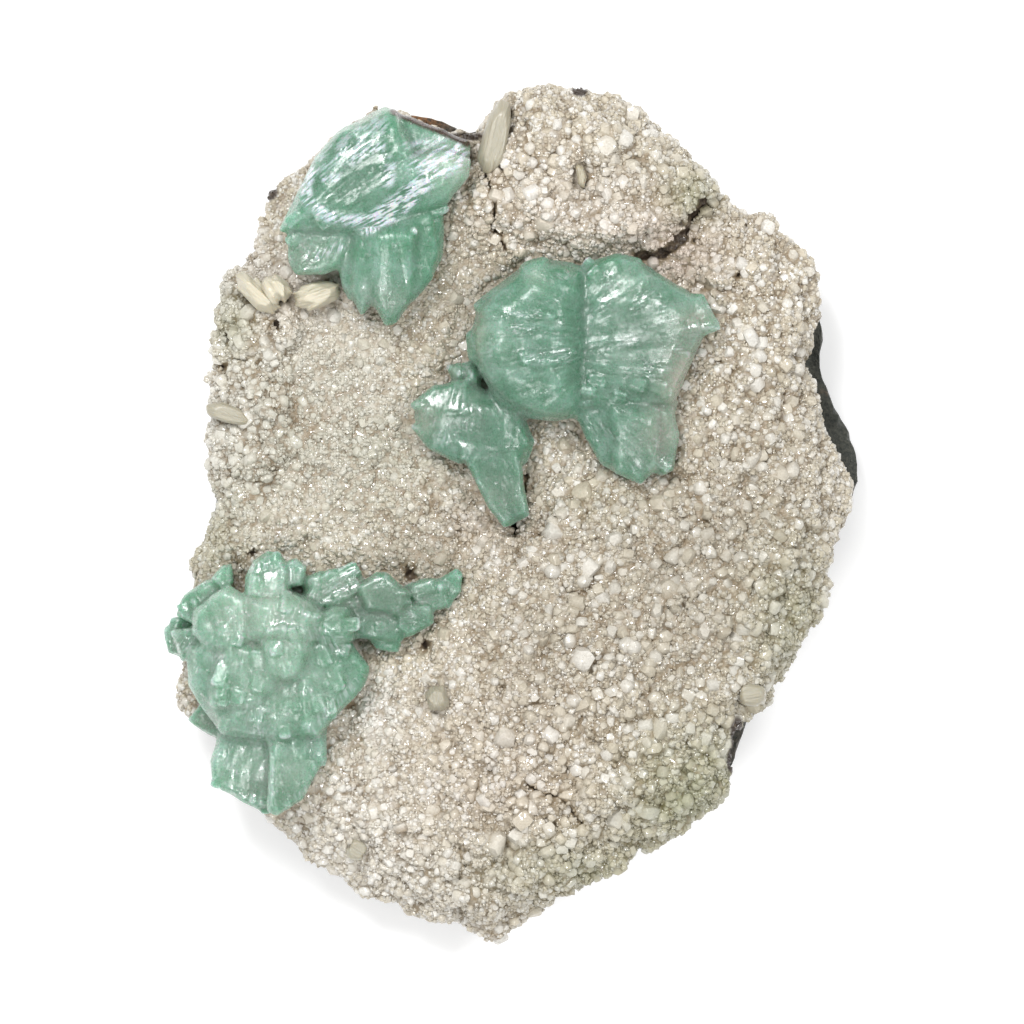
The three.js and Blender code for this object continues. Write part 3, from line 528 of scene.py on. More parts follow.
def refined(mesh, wanted, cuts):
    """The mesh with each face whose corners are all wanted cut into smaller ones."""
    solid = bmesh.new()
    solid.from_mesh(mesh)
    faces = [face for face in solid.faces if all(wanted[vertex.index] for vertex in face.verts)]
    edges = list({edge for face in faces for edge in face.edges})
    bmesh.ops.subdivide_edges(solid, edges=edges, cuts=cuts, use_grid_fill=True)
    solid.to_mesh(mesh)
    solid.free()
    return mesh


def thinned(mesh, ratio):
    """The mesh with fewer triangles, and its form kept."""
    return finished(mesh, "DECIMATE", ratio=ratio)


def paint_points(mesh, **values):
    """Stores one number, or one vector, for every vertex under each name."""
    for name, numbers in values.items():
        is_vector = numbers.ndim == 2
        attribute = mesh.attributes.new(name, "FLOAT_VECTOR" if is_vector else "FLOAT", "POINT")
        key = "vector" if is_vector else "value"
        attribute.data.foreach_set(key, numbers.astype(np.float32).ravel())


def add_piece(name, mesh, material, nodes=(), crease=None):
    """A finished piece on the specimen; faces meet softly where they bend by less than the crease."""
    mesh.name = name
    mesh.materials.clear()
    mesh.materials.append(material)
    if crease is None:
        mesh.shade_flat()
    else:
        mesh.shade_smooth()
        mesh.set_sharp_from_angle(angle=math.radians(crease))
    piece = bpy.data.objects.new(name, mesh)
    bpy.context.scene.collection.objects.link(piece)
    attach(piece, "root")
    if nodes:
        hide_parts(*nodes)


# ------------------------------------------------------------------ shader maths


class Signal:
    """A socket in a material. Arithmetic on it adds Math nodes."""

    def __init__(self, paint, socket):
        """Remembers the material that the socket belongs to."""
        self.paint = paint
        self.socket = socket

    def _math(self, operation, *values, clamp=False):
        """Adds a Math node."""
        settings = {"operation": operation, "use_clamp": clamp}
        return self.paint.node("ShaderNodeMath", settings, dict(enumerate(values)))

    def __add__(self, other):
        return self._math("ADD", self, other)

    __radd__ = __add__

    def __mul__(self, other):
        return self._math("MULTIPLY", self, other)

    __rmul__ = __mul__

    def __sub__(self, other):
        return self._math("SUBTRACT", self, other)

    def __rsub__(self, other):
        return self._math("SUBTRACT", other, self)

    def clamped(self):
        """The same number, held between 0 and 1."""
        return self._math("ADD", self, 0, clamp=True)

    def step(self, low, high):
        """A soft step from 0 at low to 1 at high."""
        settings = {"interpolation_type": "SMOOTHSTEP"}
        return self.paint.node("ShaderNodeMapRange", settings, {0: self, 1: low, 2: high, 3: 0.0, 4: 1.0})


class Paint:
    """Builds the nodes of one material."""

    def __init__(self, name):
        """Starts a material that has nothing but its output."""
        self.material = bpy.data.materials.new(name)
        self.material.use_nodes = True
        self.nodes = self.material.node_tree.nodes
        self.links = self.material.node_tree.links
        self.nodes.clear()
        self.output = self.nodes.new("ShaderNodeOutputMaterial")

    def node(self, kind, settings=None, sockets=None, output=0):
        """Adds a node, sets it up, then fills its sockets with values or links."""
        made = self.nodes.new(kind)
        for key, value in (settings or {}).items():
            setattr(made, key, value)
        for key, value in (sockets or {}).items():
            if isinstance(value, Signal):
                self.links.new(value.socket, made.inputs[key])
            else:
                made.inputs[key].default_value = value
        return Signal(self, made.outputs[output])

    def stored(self, name, output="Fac"):
        """A number or a vector that the mesh stores for its vertices."""
        return self.node("ShaderNodeAttribute", {"attribute_name": name}, output=output)

    def place(self):
        """Where each point lies on the piece."""
        return self.node("ShaderNodeTexCoord", output="Object")

    def noise(self, vector, pitch, detail=2.0, roughness=0.5, distortion=0.0):
        """Noise between 0 and 1 with one bump every pitch millimetres."""
        sockets = {
            "Vector": vector, "Scale": 1 / (pitch * MM), "Detail": detail, "Roughness": roughness,
            "Distortion": distortion,
        }
        return self.node("ShaderNodeTexNoise", {}, sockets)

    def cells(self, vector, pitch, output="Distance"):
        """Scattered cells, pitch millimetres wide: the distance to the nearest seed, or its colour."""
        sockets = {"Vector": vector, "Scale": 1 / (pitch * MM)}
        return self.node("ShaderNodeTexVoronoi", {}, sockets, output)

    def mix(self, factor, first, second):
        """A colour between two colours."""
        sockets = {0: factor, 6: self.colour(first), 7: self.colour(second)}
        return self.node("ShaderNodeMix", {"data_type": "RGBA"}, sockets, output=2)

    def layers(self, colour, *coats):
        """A colour under coats of other colours. Each coat is its share, from 0 to 1, and its colour."""
        for factor, coat in coats:
            colour = self.mix(factor, colour, coat)
        return colour

    def colour(self, value):
        """A colour socket as it is, or plain red, green and blue with full cover."""
        return value if isinstance(value, Signal) else (*value, 1.0)

    def bump(self, height, distance, strength=1.0):
        """A normal bent by a height between 0 and 1 that stands for a distance in millimetres."""
        sockets = {"Height": height, "Distance": distance * MM, "Strength": strength}
        return self.node("ShaderNodeBump", {}, sockets)

    def facets(self, vector, pitch, tilt):
        """Heights, in metres, of flat facets pitch millimetres wide, each tilted its own way."""
        cell = self.cells(vector, pitch, "Position")
        lean = Signal(self, cell.socket.node.outputs["Color"])
        run = self.vector("SUBTRACT", vector, cell)
        slope = self.vector("MULTIPLY_ADD", lean, (2 * tilt,) * 3, (-tilt,) * 3)
        return self.vector("DOT_PRODUCT", run, slope, output="Value")

    def vector(self, operation, *values, output=0):
        """Vector Math on sockets and plain vectors."""
        return self.node("ShaderNodeVectorMath", {"operation": operation}, dict(enumerate(values)), output)

    def principled(self, **sockets):
        """Ends the material in a Principled shader; underscores in a name stand for spaces."""
        named = {key.replace("_", " "): value for key, value in sockets.items()}
        shader = self.node("ShaderNodeBsdfPrincipled", {}, named)
        self.links.new(shader.socket, self.output.inputs["Surface"])

    def absorb(self, colour, density):
        """Fills the body with a clear colour that takes light away."""
        sockets = {"Color": self.colour(colour), "Density": density}
        volume = self.node("ShaderNodeVolumeAbsorption", {}, sockets)
        self.links.new(volume.socket, self.output.inputs["Volume"])


# ------------------------------------------------------------------ materials


def druse_material(settings):
    """Pearly grains: cream, paler at their tips and brown in the crevices as painted shade, near black in the
    pits, with painted light and shade in broad patches, and stained in places.
    """
    paint = Paint("heulandite_druse")
    place = paint.place()
    height = paint.stored("height")
    light = paint.stored("light")
    olive = paint.stored("olive")
    beading = paint.stored("beading")
    cloud = paint.noise(place, 9, detail=3)
    dust = paint.noise(place, 0.5, detail=2)
    beads = paint.cells(place, 1.3)
    body = paint.layers(
        settings.cream,
        (paint.stored("tone").step(0.25, 0.9), settings.pale),
        # Painted light and shade: pale where the crust is painted brighter, dull shade where it is painted
        # duller
        (light * (0.5 + cloud), settings.pale),
        (paint.stored("grey") * (0.3 + cloud), settings.grey),
        (paint.stored("rose") * (0.4 + cloud), settings.rose),
        (0 - light * (0.5 + cloud), settings.dull_shade),
        (olive * (0.35 + 0.9 * cloud), settings.olive),
    )
    # Painted shade: the height turns the grains toward the crevice shade near their roots and in creases, and
    # near black deep in the pits
    gap = paint.mix(olive, settings.crevice_shade_and_dust, settings.stained_crevice_shade)
    body = paint.mix(height.step(-0.1, 0.85), gap, body)
    body = paint.mix(height.step(-1.1, -0.1), settings.pit_shade_and_bare_rock, body)
    body = paint.layers(
        body,
        (0.2 * dust.step(0.45, 0.7), settings.crevice_shade_and_dust),
        (paint.stored("bare").step(0.3, 0.7), settings.pit_shade_and_bare_rock),
        # Painted shade: dark outlines between the beads of the ground
        (0.4 * beading * beads.step(0.4, 0.75), settings.crevice_shade_and_dust),
    )
    sparkle = paint.noise(place, 0.6, detail=1).step(0.54, 0.64)
    relief = (0.25 + 0.75 * paint.stored("grit")) * paint.facets(place, 0.5, 0.26)
    paint.principled(
        Base_Color=body,
        Roughness=0.3 + 0.3 * paint.stored("gloss"),
        IOR=1.5,
        Coat_Weight=0.7 * sparkle,
        Coat_IOR=2.2,
        Coat_Roughness=0.1,
        Normal=paint.bump(relief - 0.3 * MM * beading * beads * beads, 1 / MM),
    )
    return paint.material


def apophyllite_material(settings):
    """Cloudy green glass: clear and deep in the grooves, milky at the tips, with stepped faces, painted
    highlights on glints, ridges and sheen bands, and painted light and shade.
    """
    paint = Paint("apophyllite_green")
    place = paint.place()
    ray = paint.stored("ray", "Vector")
    light = paint.stored("light")
    smoke = paint.stored("smoke")
    edge = paint.stored("edge")
    veil = paint.noise(place, 5, detail=5, roughness=0.65, distortion=0.8)
    wisps = paint.noise(ray, 1.6, detail=4, roughness=0.6)
    specks = paint.noise(place, 0.5, detail=3, roughness=0.6)
    flakes = paint.cells(place, 2.6, output="Color")
    cloud = (1.3 * veil + 0.6 * wisps + 0.06 * specks + 0.25 * flakes - 0.82).clamped()
    # Scattered glints: a painted highlight and a glossier coat, fewer where the crystal is painted duller
    sprinkle = paint.noise(place, 1.7, detail=2).step(0.58, 0.68)
    glint = (paint.stored("glint") + 0.8 * sprinkle * (light + 1.0).clamped()).clamped()
    strokes = paint.noise(ray, 0.5, detail=3, roughness=0.6)
    glint_strokes = strokes.step(0.5, 0.6)
    body = paint.layers(
        settings.deep,
        (cloud.step(0.05, 0.6), settings.mint),
        (paint.stored("milk") * (0.5 + cloud), settings.milk),
        (smoke * (0.4 + 0.8 * veil), settings.smoke),
        ((paint.stored("depth") * (1.3 - cloud)).clamped() * 0.85, settings.deep),
        # Painted light and shade: milk where the crystal is painted brighter, shade where it is painted
        # duller
        (light * (0.6 + cloud), settings.milk),
        (0 - light * (1.0 - cloud), settings.shade_and_specks),
        (paint.stored("thin") * (0.6 + cloud), settings.sand),
        (0.5 * smoke * specks.step(0.6, 0.7), settings.shade_and_specks),
        # Painted light: steep faces are lightened toward milk
        (0.35 * paint.stored("side"), settings.milk),
        # Painted highlights: white strokes on glinting facets, silvery strokes in the sheen bands
        (0.3 * glint * glint_strokes, settings.glint_highlight),
        (paint.stored("sheen") * strokes.step(0.44, 0.56), settings.sheen_highlight),
        # Painted highlight along ridges, painted shade in the creases between facets
        (0.5 * edge.step(0.15, 0.9), settings.glint_highlight),
        (0.35 * (0 - edge).step(0.15, 0.9), settings.deep),
        (paint.stored("stain"), settings.rim),
    )
    streaks = paint.facets(ray, 0.36, 0.32)
    chips = paint.facets(place, 0.7, 0.3)
    relief = (0.2 + 0.8 * glint) * (streaks + chips) + 0.03 * MM * specks
    paint.principled(
        Base_Color=body,
        Roughness=(0.2 + 0.16 * specks - 0.15 * glint).clamped(),
        IOR=1.535,
        Transmission_Weight=0.3,
        Subsurface_Weight=1.0,
        Subsurface_Radius=(0.5, 1.0, 0.75),
        Subsurface_Scale=7.0 * MM,
        Coat_Weight=0.04 + 0.85 * glint * (0.4 + 0.6 * glint_strokes),
        Coat_IOR=2.2,
        Coat_Roughness=0.12,
        Normal=paint.bump(relief, 1 / MM),
    )
    paint.absorb(settings.absorption, 40.0)
    return paint.material


def stilbite_material(settings):
    """Pearly blades with lengthwise lines."""
    paint = Paint("stilbite_cream")
    lines = paint.noise(paint.stored("ray", "Vector"), 360, detail=4)
    worn = paint.noise(paint.place(), 2.5, detail=3)
    body = paint.layers(
        settings.cream,
        (paint.stored("pale"), settings.pale),
        (paint.stored("edge") + 0.7 * lines.step(0.5, 0.75) * worn, settings.honey),
    )
    paint.principled(
        Base_Color=body,
        Roughness=0.24 + 0.25 * worn,
        Subsurface_Weight=0.3,
        Subsurface_Radius=(1.0, 0.7, 0.4),
        Subsurface_Scale=1.2 * MM,
        Coat_Weight=0.3,
        Coat_Roughness=0.2,
        Normal=paint.bump(lines, 0.3),
    )
    return paint.material


def basalt_material(settings):
    """Dark, rough rock with rust stains and small filled bubbles."""
    paint = Paint("basalt_rock")
    place = paint.place()
    grain = paint.noise(place, 0.8, detail=4, roughness=0.7)
    patches = paint.noise(place, 12, detail=4)
    rusty = (paint.stored("rust") + 0.35 * paint.noise(place, 7, detail=3).step(0.62, 0.76)).clamped()
    bubbles = (1 - paint.cells(place, 3.6).step(0.09, 0.17)) * paint.noise(place, 9).step(0.52, 0.6)
    mottle = (0.8 * grain.step(0.35, 0.7) + patches.step(0.5, 0.72)).clamped()
    body = paint.layers(
        settings.rock,
        (0.85 * mottle, settings.worn),
        (rusty * grain.step(0.3, 0.6), settings.rust),
        (bubbles * 0.8, settings.blebs),
    )
    paint.principled(
        Base_Color=body,
        Roughness=0.85 - 0.35 * bubbles - 0.35 * grain,
        Normal=paint.bump(grain - 0.2 * bubbles, 1.4),
    )
    return paint.material


def floor_material(settings):
    """A matt floor that gives off a little light."""
    paint = Paint("floor_pale")
    paint.principled(
        Base_Color=paint.colour(settings.floor),
        Roughness=0.9,
        Emission_Color=WHITE,
        Emission_Strength=settings.glow,
    )
    return paint.material


# ------------------------------------------------------------------ basalt


class SPECIMEN_OT_basalt(bpy.types.Operator):
    """Builds the slab of basalt with its chipped sides and flat back"""

    bl_idname = "specimen.basalt"
    bl_label = "Basalt"

    def execute(self, context):
        """Chips the rock's sides and leaves its flat back as it is."""
        settings = context.scene.specimen_basalt
        mesh = skin("basalt_rock", [node_shape("basalt_matrix")], settings.skin_cell)
        points, normals = mesh_points(mesh)
        chips = 1 - cellular(points, settings.chip_pitch, 5)[0] ** 2
        flakes = 1 - cellular(points, 0.4 * settings.chip_pitch, 6)[0] ** 2
        crumbs = (1 - rolling(points, 2.2 * MM, 9)) / 2
        depth = settings.chip_depth * (0.6 * chips + 0.25 * flakes + 0.15 * crumbs)
        side = 1 - smooth(0.3, 0.8, np.abs(normals[:, 2]))
        depth -= settings.bulge * side * (0.4 + 0.6 * zone_share(points, OPEN_RIM))
        above_floor = smooth(0.2 * MM, 2.5 * MM, points[:, 2])
        points -= normals * (depth * above_floor)[:, None]
        points[:, 2] = np.maximum(points[:, 2], 0)
        move_points(mesh, points)
        paint_points(mesh, rust=zone_share(points, RUST_ZONES))
        add_piece("basalt_rock", mesh, basalt_material(settings), ["basalt_matrix"], crease=30)
        return {"FINISHED"}


# ------------------------------------------------------------------ heulandite crust


def crust_dips(points):
    """How deep the cracks and pits lie at every point, in metres."""
    dips = np.zeros(len(points))
    ragged = rolling(points, 1.5 * MM, 40) + 0.5 * rolling(points, 0.7 * MM, 41)
    for middle, radius, depth in PITS:
        reach = np.linalg.norm(points[:, :2] / MM - middle, axis=1) / radius + 0.6 * ragged
        dips = np.maximum(dips, depth * MM * (1 - smooth(0.0, 1.3, reach)))
    for line, half_width, depth in CRACKS:
        reach = line_distance(points, line) / (half_width * MM)
        dips = np.maximum(dips, depth * MM * (1 - smooth(0.6, 1.8, reach)))
    return dips


def crust_lumps(points, settings):
    """Height of the merged lumps at every point, and how open it lies, which sets the painted shade: 0 in a
    crease, 1 on a lump.
    """
    bend = np.stack([rolling(points, settings.lump_pitch, seed) for seed in (51, 52, 53)], axis=1)
    bent = points + 0.22 * settings.lump_pitch * bend
    coarse = 0.55 + 0.45 * rolling(points, 3 * settings.lump_pitch, 54) + zone_share(points, COARSE_ZONES)
    coarse *= 1 - zone_share(points, PLAIN_ZONES)
    lift = np.zeros(len(points))
    openness = np.ones(len(points))
    contrast = 0.4 + 0.6 * np.clip(coarse, 0, 1)
    # Lumps, nodules and beads: pitch as a share of a lump's, height, and how dark the painted shade in their
    # creases is
    tiers = [
        (1.0, settings.lump_height, 0.5), (0.45, settings.nodule_height, 0.6),
        (0.2, settings.bead_height, 0.15),
    ]
    for seed, (pitch_share, height, crease) in enumerate(tiers):
        nearest, second = cellular(bent, settings.lump_pitch * pitch_share, 60 + seed)
        lift += height * np.clip(coarse, 0.35, 1.1) * (1 - 1.3 * nearest**2)
        openness -= crease * contrast * (1 - smooth(0.0, 0.26, second - nearest))
    return lift, np.clip(openness, 0, 1)


def crust_surface(settings, crystals):
    """The crust: lumps, cracks and pits pressed into the CAD node's face, fine where it is seen.

    With it come the depth of its pits and how open it lies, for every vertex.
    """
    mesh = skin("heulandite_ground", [node_shape("heulandite_crust")], settings.skin_cell)
    points, normals = mesh_points(mesh)
    is_seen = (normals[:, 2] > -0.4) & ~covered(points, crystals, FINE_MARGIN)
    mesh = refined(mesh, is_seen, settings.skin_cuts)
    mesh = smoothed(mesh, CRUST_SMOOTHING)
    points, normals = mesh_points(mesh)
    lift, openness = crust_lumps(points, settings)
    dips = crust_dips(points)
    outer = smooth(-0.8, -0.3, normals[:, 2])
    points += normals * ((lift - settings.sink) * outer)[:, None]
    points -= UP * dips[:, None]
    for zone in HELD_BACK:
        points[:, 0] -= MM * zone_sum(points, [zone])
    points += UP * (MM * outer * zone_sum(points, RAISED))[:, None]
    move_points(mesh, points)
    return mesh, dips, openness


def crust_paint(points):
    """Where the crust is stained, rosy, bright, dull or missing."""
    return {
        # Painted light and shade: where the crust is painted brighter or duller
        "light": zone_share(points, BRIGHT_ZONES) - zone_share(points, DULL_ZONES),
        "bare": zone_share(points, BARE_ZONES),
        "olive": zone_share(points, OLIVE_ZONES),
        "rose": zone_share(points, ROSE_ZONES),
        "grey": zone_share(points, GREY_ZONES),
    }


def grain_template(seed, corners, squareness):
    """A small convex crystal about 1 wide; more squareness gives flatter, blockier faces."""
    random = np.random.default_rng(seed)
    golden = math.pi * (3 - math.sqrt(5))
    turns = np.arange(corners)
    heights = 1 - (2 * turns + 1) / corners
    rings = np.sqrt(1 - heights**2)
    ball = np.stack([rings * np.cos(golden * turns), rings * np.sin(golden * turns), heights], axis=1)
    ball += random.normal(0, 0.16, ball.shape)
    ball /= np.linalg.norm(ball, axis=1)[:, None]
    block = np.sign(ball) * np.abs(ball) ** (1 - squareness)
    return hull(0.5 * block * random.uniform(0.66, 1.08, 3))


def random_turns(random, count):
    """One random rotation matrix for each grain."""
    numbers = random.normal(size=(count, 4))
    w, x, y, z = (numbers / np.linalg.norm(numbers, axis=1)[:, None]).T
    rows = [
        [1 - 2 * (y * y + z * z), 2 * (x * y - z * w), 2 * (x * z + y * w)],
        [2 * (x * y + z * w), 1 - 2 * (x * x + z * z), 2 * (y * z - x * w)],
        [2 * (x * z - y * w), 2 * (y * z + x * w), 1 - 2 * (x * x + y * y)],
    ]
    return np.array(rows).transpose(2, 0, 1)


def strew(name, places, normals, openness, sizes, templates, random, shading, grit):
    """One mesh of crystals, with a tone, a gloss and, from the openness, a height that sets the painted shade
    for every vertex.

    Shading is how fast the painted shade darkens a crystal toward its root, grit how rough its faces are.
    """
    turns = random_turns(random, len(places))
    kinds = random.integers(0, len(templates), len(places))
    tones = random.uniform(0, 1, len(places)) ** (0.5 + 0.9 * grit)
    glosses = random.uniform(0, 1, len(places))
    shapes = []
    tone, gloss, height = [], [], []
    for index, (place, size) in enumerate(zip(places, sizes)):
        corners, triangles = templates[kinds[index]]
        grain = (corners * size) @ turns[index].T
        shapes.append((grain + place, triangles))
        tone.append(np.full(len(corners), tones[index]))
        gloss.append(np.full(len(corners), glosses[index]))
        # Painted shade: lower on a crystal and deeper in a crease, the height paints it darker
        height.append(0.75 * openness[index] + shading * (grain @ normals[index]) / size)
    mesh = mesh_of(name, shapes)
    points, _ = mesh_points(mesh)
    paint_points(
        mesh,
        tone=np.concatenate(tone),
        gloss=np.concatenate(gloss),
        height=np.concatenate(height),
        grit=np.full(len(points), grit),
        **crust_paint(points),
    )
    return mesh


def covered(points, nodes, margin):
    """Whether a crystal of some CAD nodes stands over a point and over its surroundings."""
    trees = []
    for node in nodes:
        corners, triangles = node_shape(node)
        trees.append(BVHTree.FromPolygons(corners.tolist(), triangles.tolist()))
    turns = np.arange(4) * math.pi / 2
    offsets = [Vector((0, 0, 0)), *(Vector((math.cos(turn), math.sin(turn), 0)) * margin for turn in turns)]
    up = Vector((0, 0, 1))
    drop = up * (4 * MM)

    def is_under(point):
        """Looks up from a little below the point and from its surroundings."""
        spots = [Vector(point) + offset - drop for offset in offsets]
        return all(any(tree.ray_cast(spot, up)[0] for tree in trees) for spot in spots)

    return np.array([is_under(point) for point in points])


class SPECIMEN_OT_druse(bpy.types.Operator):
    """Builds the heulandite crust and strews its grains and blocky crystals"""

    bl_idname = "specimen.druse"
    bl_label = "Heulandite Druse"

    def execute(self, context):
        """Builds the ground, then the blocky crystals on it, then the fine grains around them."""
        settings = context.scene.specimen_druse
        material = druse_material(settings)
        random = np.random.default_rng(8)
        crystals = [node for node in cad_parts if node.startswith(("apophyllite", "stilbite"))]
        mesh, dips, openness = crust_surface(settings, crystals)
        points, normals = mesh_points(mesh)
        paint_points(
            mesh,
            tone=0.5 + 0.5 * rolling(points, 1.5 * MM, 70),
            gloss=random.uniform(0, 1, len(points)),
            # Painted shade: the height darkens the creases between lumps and the cracks and pits
            height=0.75 * openness - dips / (1.2 * MM),
            grit=np.ones(len(points)),
            beading=np.ones(len(points)),
            **crust_paint(points),
        )
        add_piece("heulandite_ground", mesh, material, ["heulandite_crust"], crease=60)
        usable = (normals[:, 2] > -0.35) & (dips < PIT_LIMIT) & ~covered(points, crystals, GRAIN_MARGIN)
        places, normals, openness = points[usable], normals[usable], openness[usable]
        coarse = zone_share(places, COARSE_ZONES)
        plain = zone_share(places, PLAIN_ZONES) > 0.5

        wanted = random.uniform(0, 1, len(places)) < settings.block_share * (0.25 + 0.75 * coarse)
        chosen = self.spaced(places, wanted & ~plain, settings.block_size * 0.7)
        sizes = settings.block_size * random.lognormal(0, 0.26, len(chosen)) * (0.7 + 0.35 * coarse[chosen])
        roots = places[chosen] - normals[chosen] * (0.2 * sizes)[:, None]
        shapes = [grain_template(seed, 24, 0.05 * (seed % 12)) for seed in range(100, 124)]
        name = "heulandite_blocks"
        # Painted shade at the roots of the smooth crystals starts from this openness
        openings = np.full(len(chosen), 0.6)
        blocks = strew(name, roots, normals[chosen], openings, sizes, shapes, random, shading=1.1, grit=0.2)
        add_piece(name, blocks, material, crease=36)

        fine = random.uniform(0, 1, len(places)) < settings.grain_share
        fine &= self.clear_of(places, places[chosen], sizes * 0.42) & ~plain
        places, normals, openness = places[fine], normals[fine], openness[fine]
        sizes = settings.grain_size * (0.88 + 0.08 * coarse[fine]) * random.lognormal(0, 0.3, len(places))
        places -= normals * (0.05 * sizes)[:, None]
        shapes = [grain_template(seed, 9, 0.12) for seed in range(24)]
        bands = np.digitize(places[:, 1], BAND_EDGES)
        for band, height in enumerate(("lowest", "lower", "upper", "uppermost")):
            part = bands == band
            name = "heulandite_grains_" + height
            grains = strew(
                name, places[part], normals[part], openness[part], sizes[part], shapes, random,
                shading=1.2, grit=1.0,
            )
            add_piece(name, grains, material, crease=64)
        return {"FINISHED"}

    @staticmethod
    def spaced(places, wanted, gap):
        """The wanted places, without those that crowd an earlier one."""
        tree = KDTree(int(wanted.sum()))
        indices = np.flatnonzero(wanted)
        for index in indices:
            tree.insert(places[index], int(index))
        tree.balance()
        kept = []
        dropped = set()
        for index in indices:
            if int(index) in dropped:
                continue
            kept.append(index)
            dropped.update(other for _, other, _ in tree.find_range(places[index], gap))
        return np.array(kept)

    @staticmethod
    def clear_of(places, middles, radii):
        """Whether each place lies outside every ball."""
        tree = KDTree(len(places))
        for index, place in enumerate(places):
            tree.insert(place, index)
        tree.balance()
        free = np.ones(len(places), bool)
        for middle, radius in zip(middles, radii):
            for _, index, _ in tree.find_range(middle, radius):
                free[index] = False
        return free


# ------------------------------------------------------------------ apophyllite


def fan_rays(points):
    """A place for every point that moves fast across the blades of its sheaf and slowly along them."""
    scores = [np.linalg.norm(points[:, :2] / MM - middle, axis=1) / reach for middle, reach, _, _ in FANS]
    owner = np.argmin(scores, axis=0)
    run = points[:, :2] - np.array([root for _, _, root, _ in FANS])[owner] * MM
    radii = np.array([radius for _, _, _, radius in FANS])[owner] * MM
    reach = np.linalg.norm(run, axis=1)
    direction = run / np.maximum(reach, MM)[:, None]
    return np.column_stack([direction * radii[:, None], reach / 6 + owner * 0.05])


def band_share(points, bands):
    """How much every point lies in bands along lines, from 0 to 1."""
    total = np.zeros(len(points))
    for line, half_width, amount in bands:
        reach = line_distance(points, line) / (half_width * MM)
        total = np.maximum(total, amount * (1 - smooth(0.5, 1.6, reach)))
    return total


def sink_roots(points, normals, depth):
    """Moves the underside down, so that the crystals grow out of the crust."""
    points -= UP * (depth * smooth(0.3, 0.8, -normals[:, 2]))[:, None]


def outgrowths(node, count, width, random):
    """Small blocky crystals that stand out of a CAD node's upper faces, along the rays of its sheaves."""
    corners, triangles = node_shape(node)
    first, second, third = (corners[triangles[:, corner]] for corner in range(3))
    normals = np.cross(second - first, third - first)
    areas = np.linalg.norm(normals, axis=1)
    normals /= np.maximum(areas, 1e-12)[:, None]
    weights = areas * (normals[:, 2] > 0.55)
    picks = random.choice(len(triangles), count, p=weights / weights.sum())
    shares = random.dirichlet((1, 1, 1), count)
    places = shares[:, :1] * first[picks] + shares[:, 1:2] * second[picks] + shares[:, 2:] * third[picks]
    is_free = zone_share(places, WHOLE_FACES) < 0.5
    is_kept = zone_share(places, CLEARED_FACES) < 0.5
    rays = fan_rays(places)

    def block_shape():
        """A blocky crystal about 1 wide."""
        return grain_template(int(random.integers(1000)), 20, 0.7)

    blocks = []
    for spot, size in RIM_CRYSTALS.get(node, ()):
        corners, faces = block_shape()
        blocks.append((corners * size * MM + np.array(spot) * MM, faces))
    for index in np.flatnonzero(is_free):
        up = Vector(normals[picks[index]] + UP * UPRIGHT + random.normal(0, UNEVENNESS, 3)).normalized()
        across = up.cross(Vector((*rays[index, :2], 0))).normalized()
        along = across.cross(up)
        corners, faces = block_shape()
        size = width * random.uniform(0.6, 1.3)
        spans = np.array((size * random.uniform(1.0, 2.0), size, size))
        turned = (corners * spans) @ np.array((along, across, up))
        if is_kept[index]:
            blocks.append((turned + places[index] - np.array(up) * ROOTING * size, faces))
    return blocks


def apophyllite_skin(node, settings, random):
    """Green crystals grown on a CAD node: small crystals, facets, and grooves between blades."""
    mesh = skin(node, [node_shape(node)], settings.skin_cell)
    eased = smoothed(mesh.copy(), settings.rounding)
    points, _ = mesh_points(mesh)
    points += (mesh_points(eased)[0] - points) * zone_share(points, ROUNDED_ZONES)[:, None]
    count = round(settings.outgrowth_count * BROKENNESS[node])
    grown = outgrowths(node, count, settings.outgrowth_width, random)
    mesh = skin(node, [(points, mesh_triangles(mesh)), *grown], settings.skin_cell)
    points, normals = mesh_points(mesh)
    rays = fan_rays(points)
    upper = smooth(-0.2, 0.3, normals[:, 2])
    whole = zone_share(points, WHOLE_FACES)
    facets = cellular(points, settings.facet_pitch, 31)[0] ** 2 - 0.2
    lift = settings.facet_rise * facets * (1 - 0.7 * whole)
    lift += settings.swell * rolling(points, 5 * MM, 38)
    lift += settings.ridge * (rolling(rays, 1.7 * MM, 17) + 0.6 * rolling(rays, 0.8 * MM, 18))
    points += normals * (lift * upper)[:, None]
    sink_roots(points, normals, settings.root_depth)
    move_points(mesh, points)
    return thinned(mesh, 0.55)


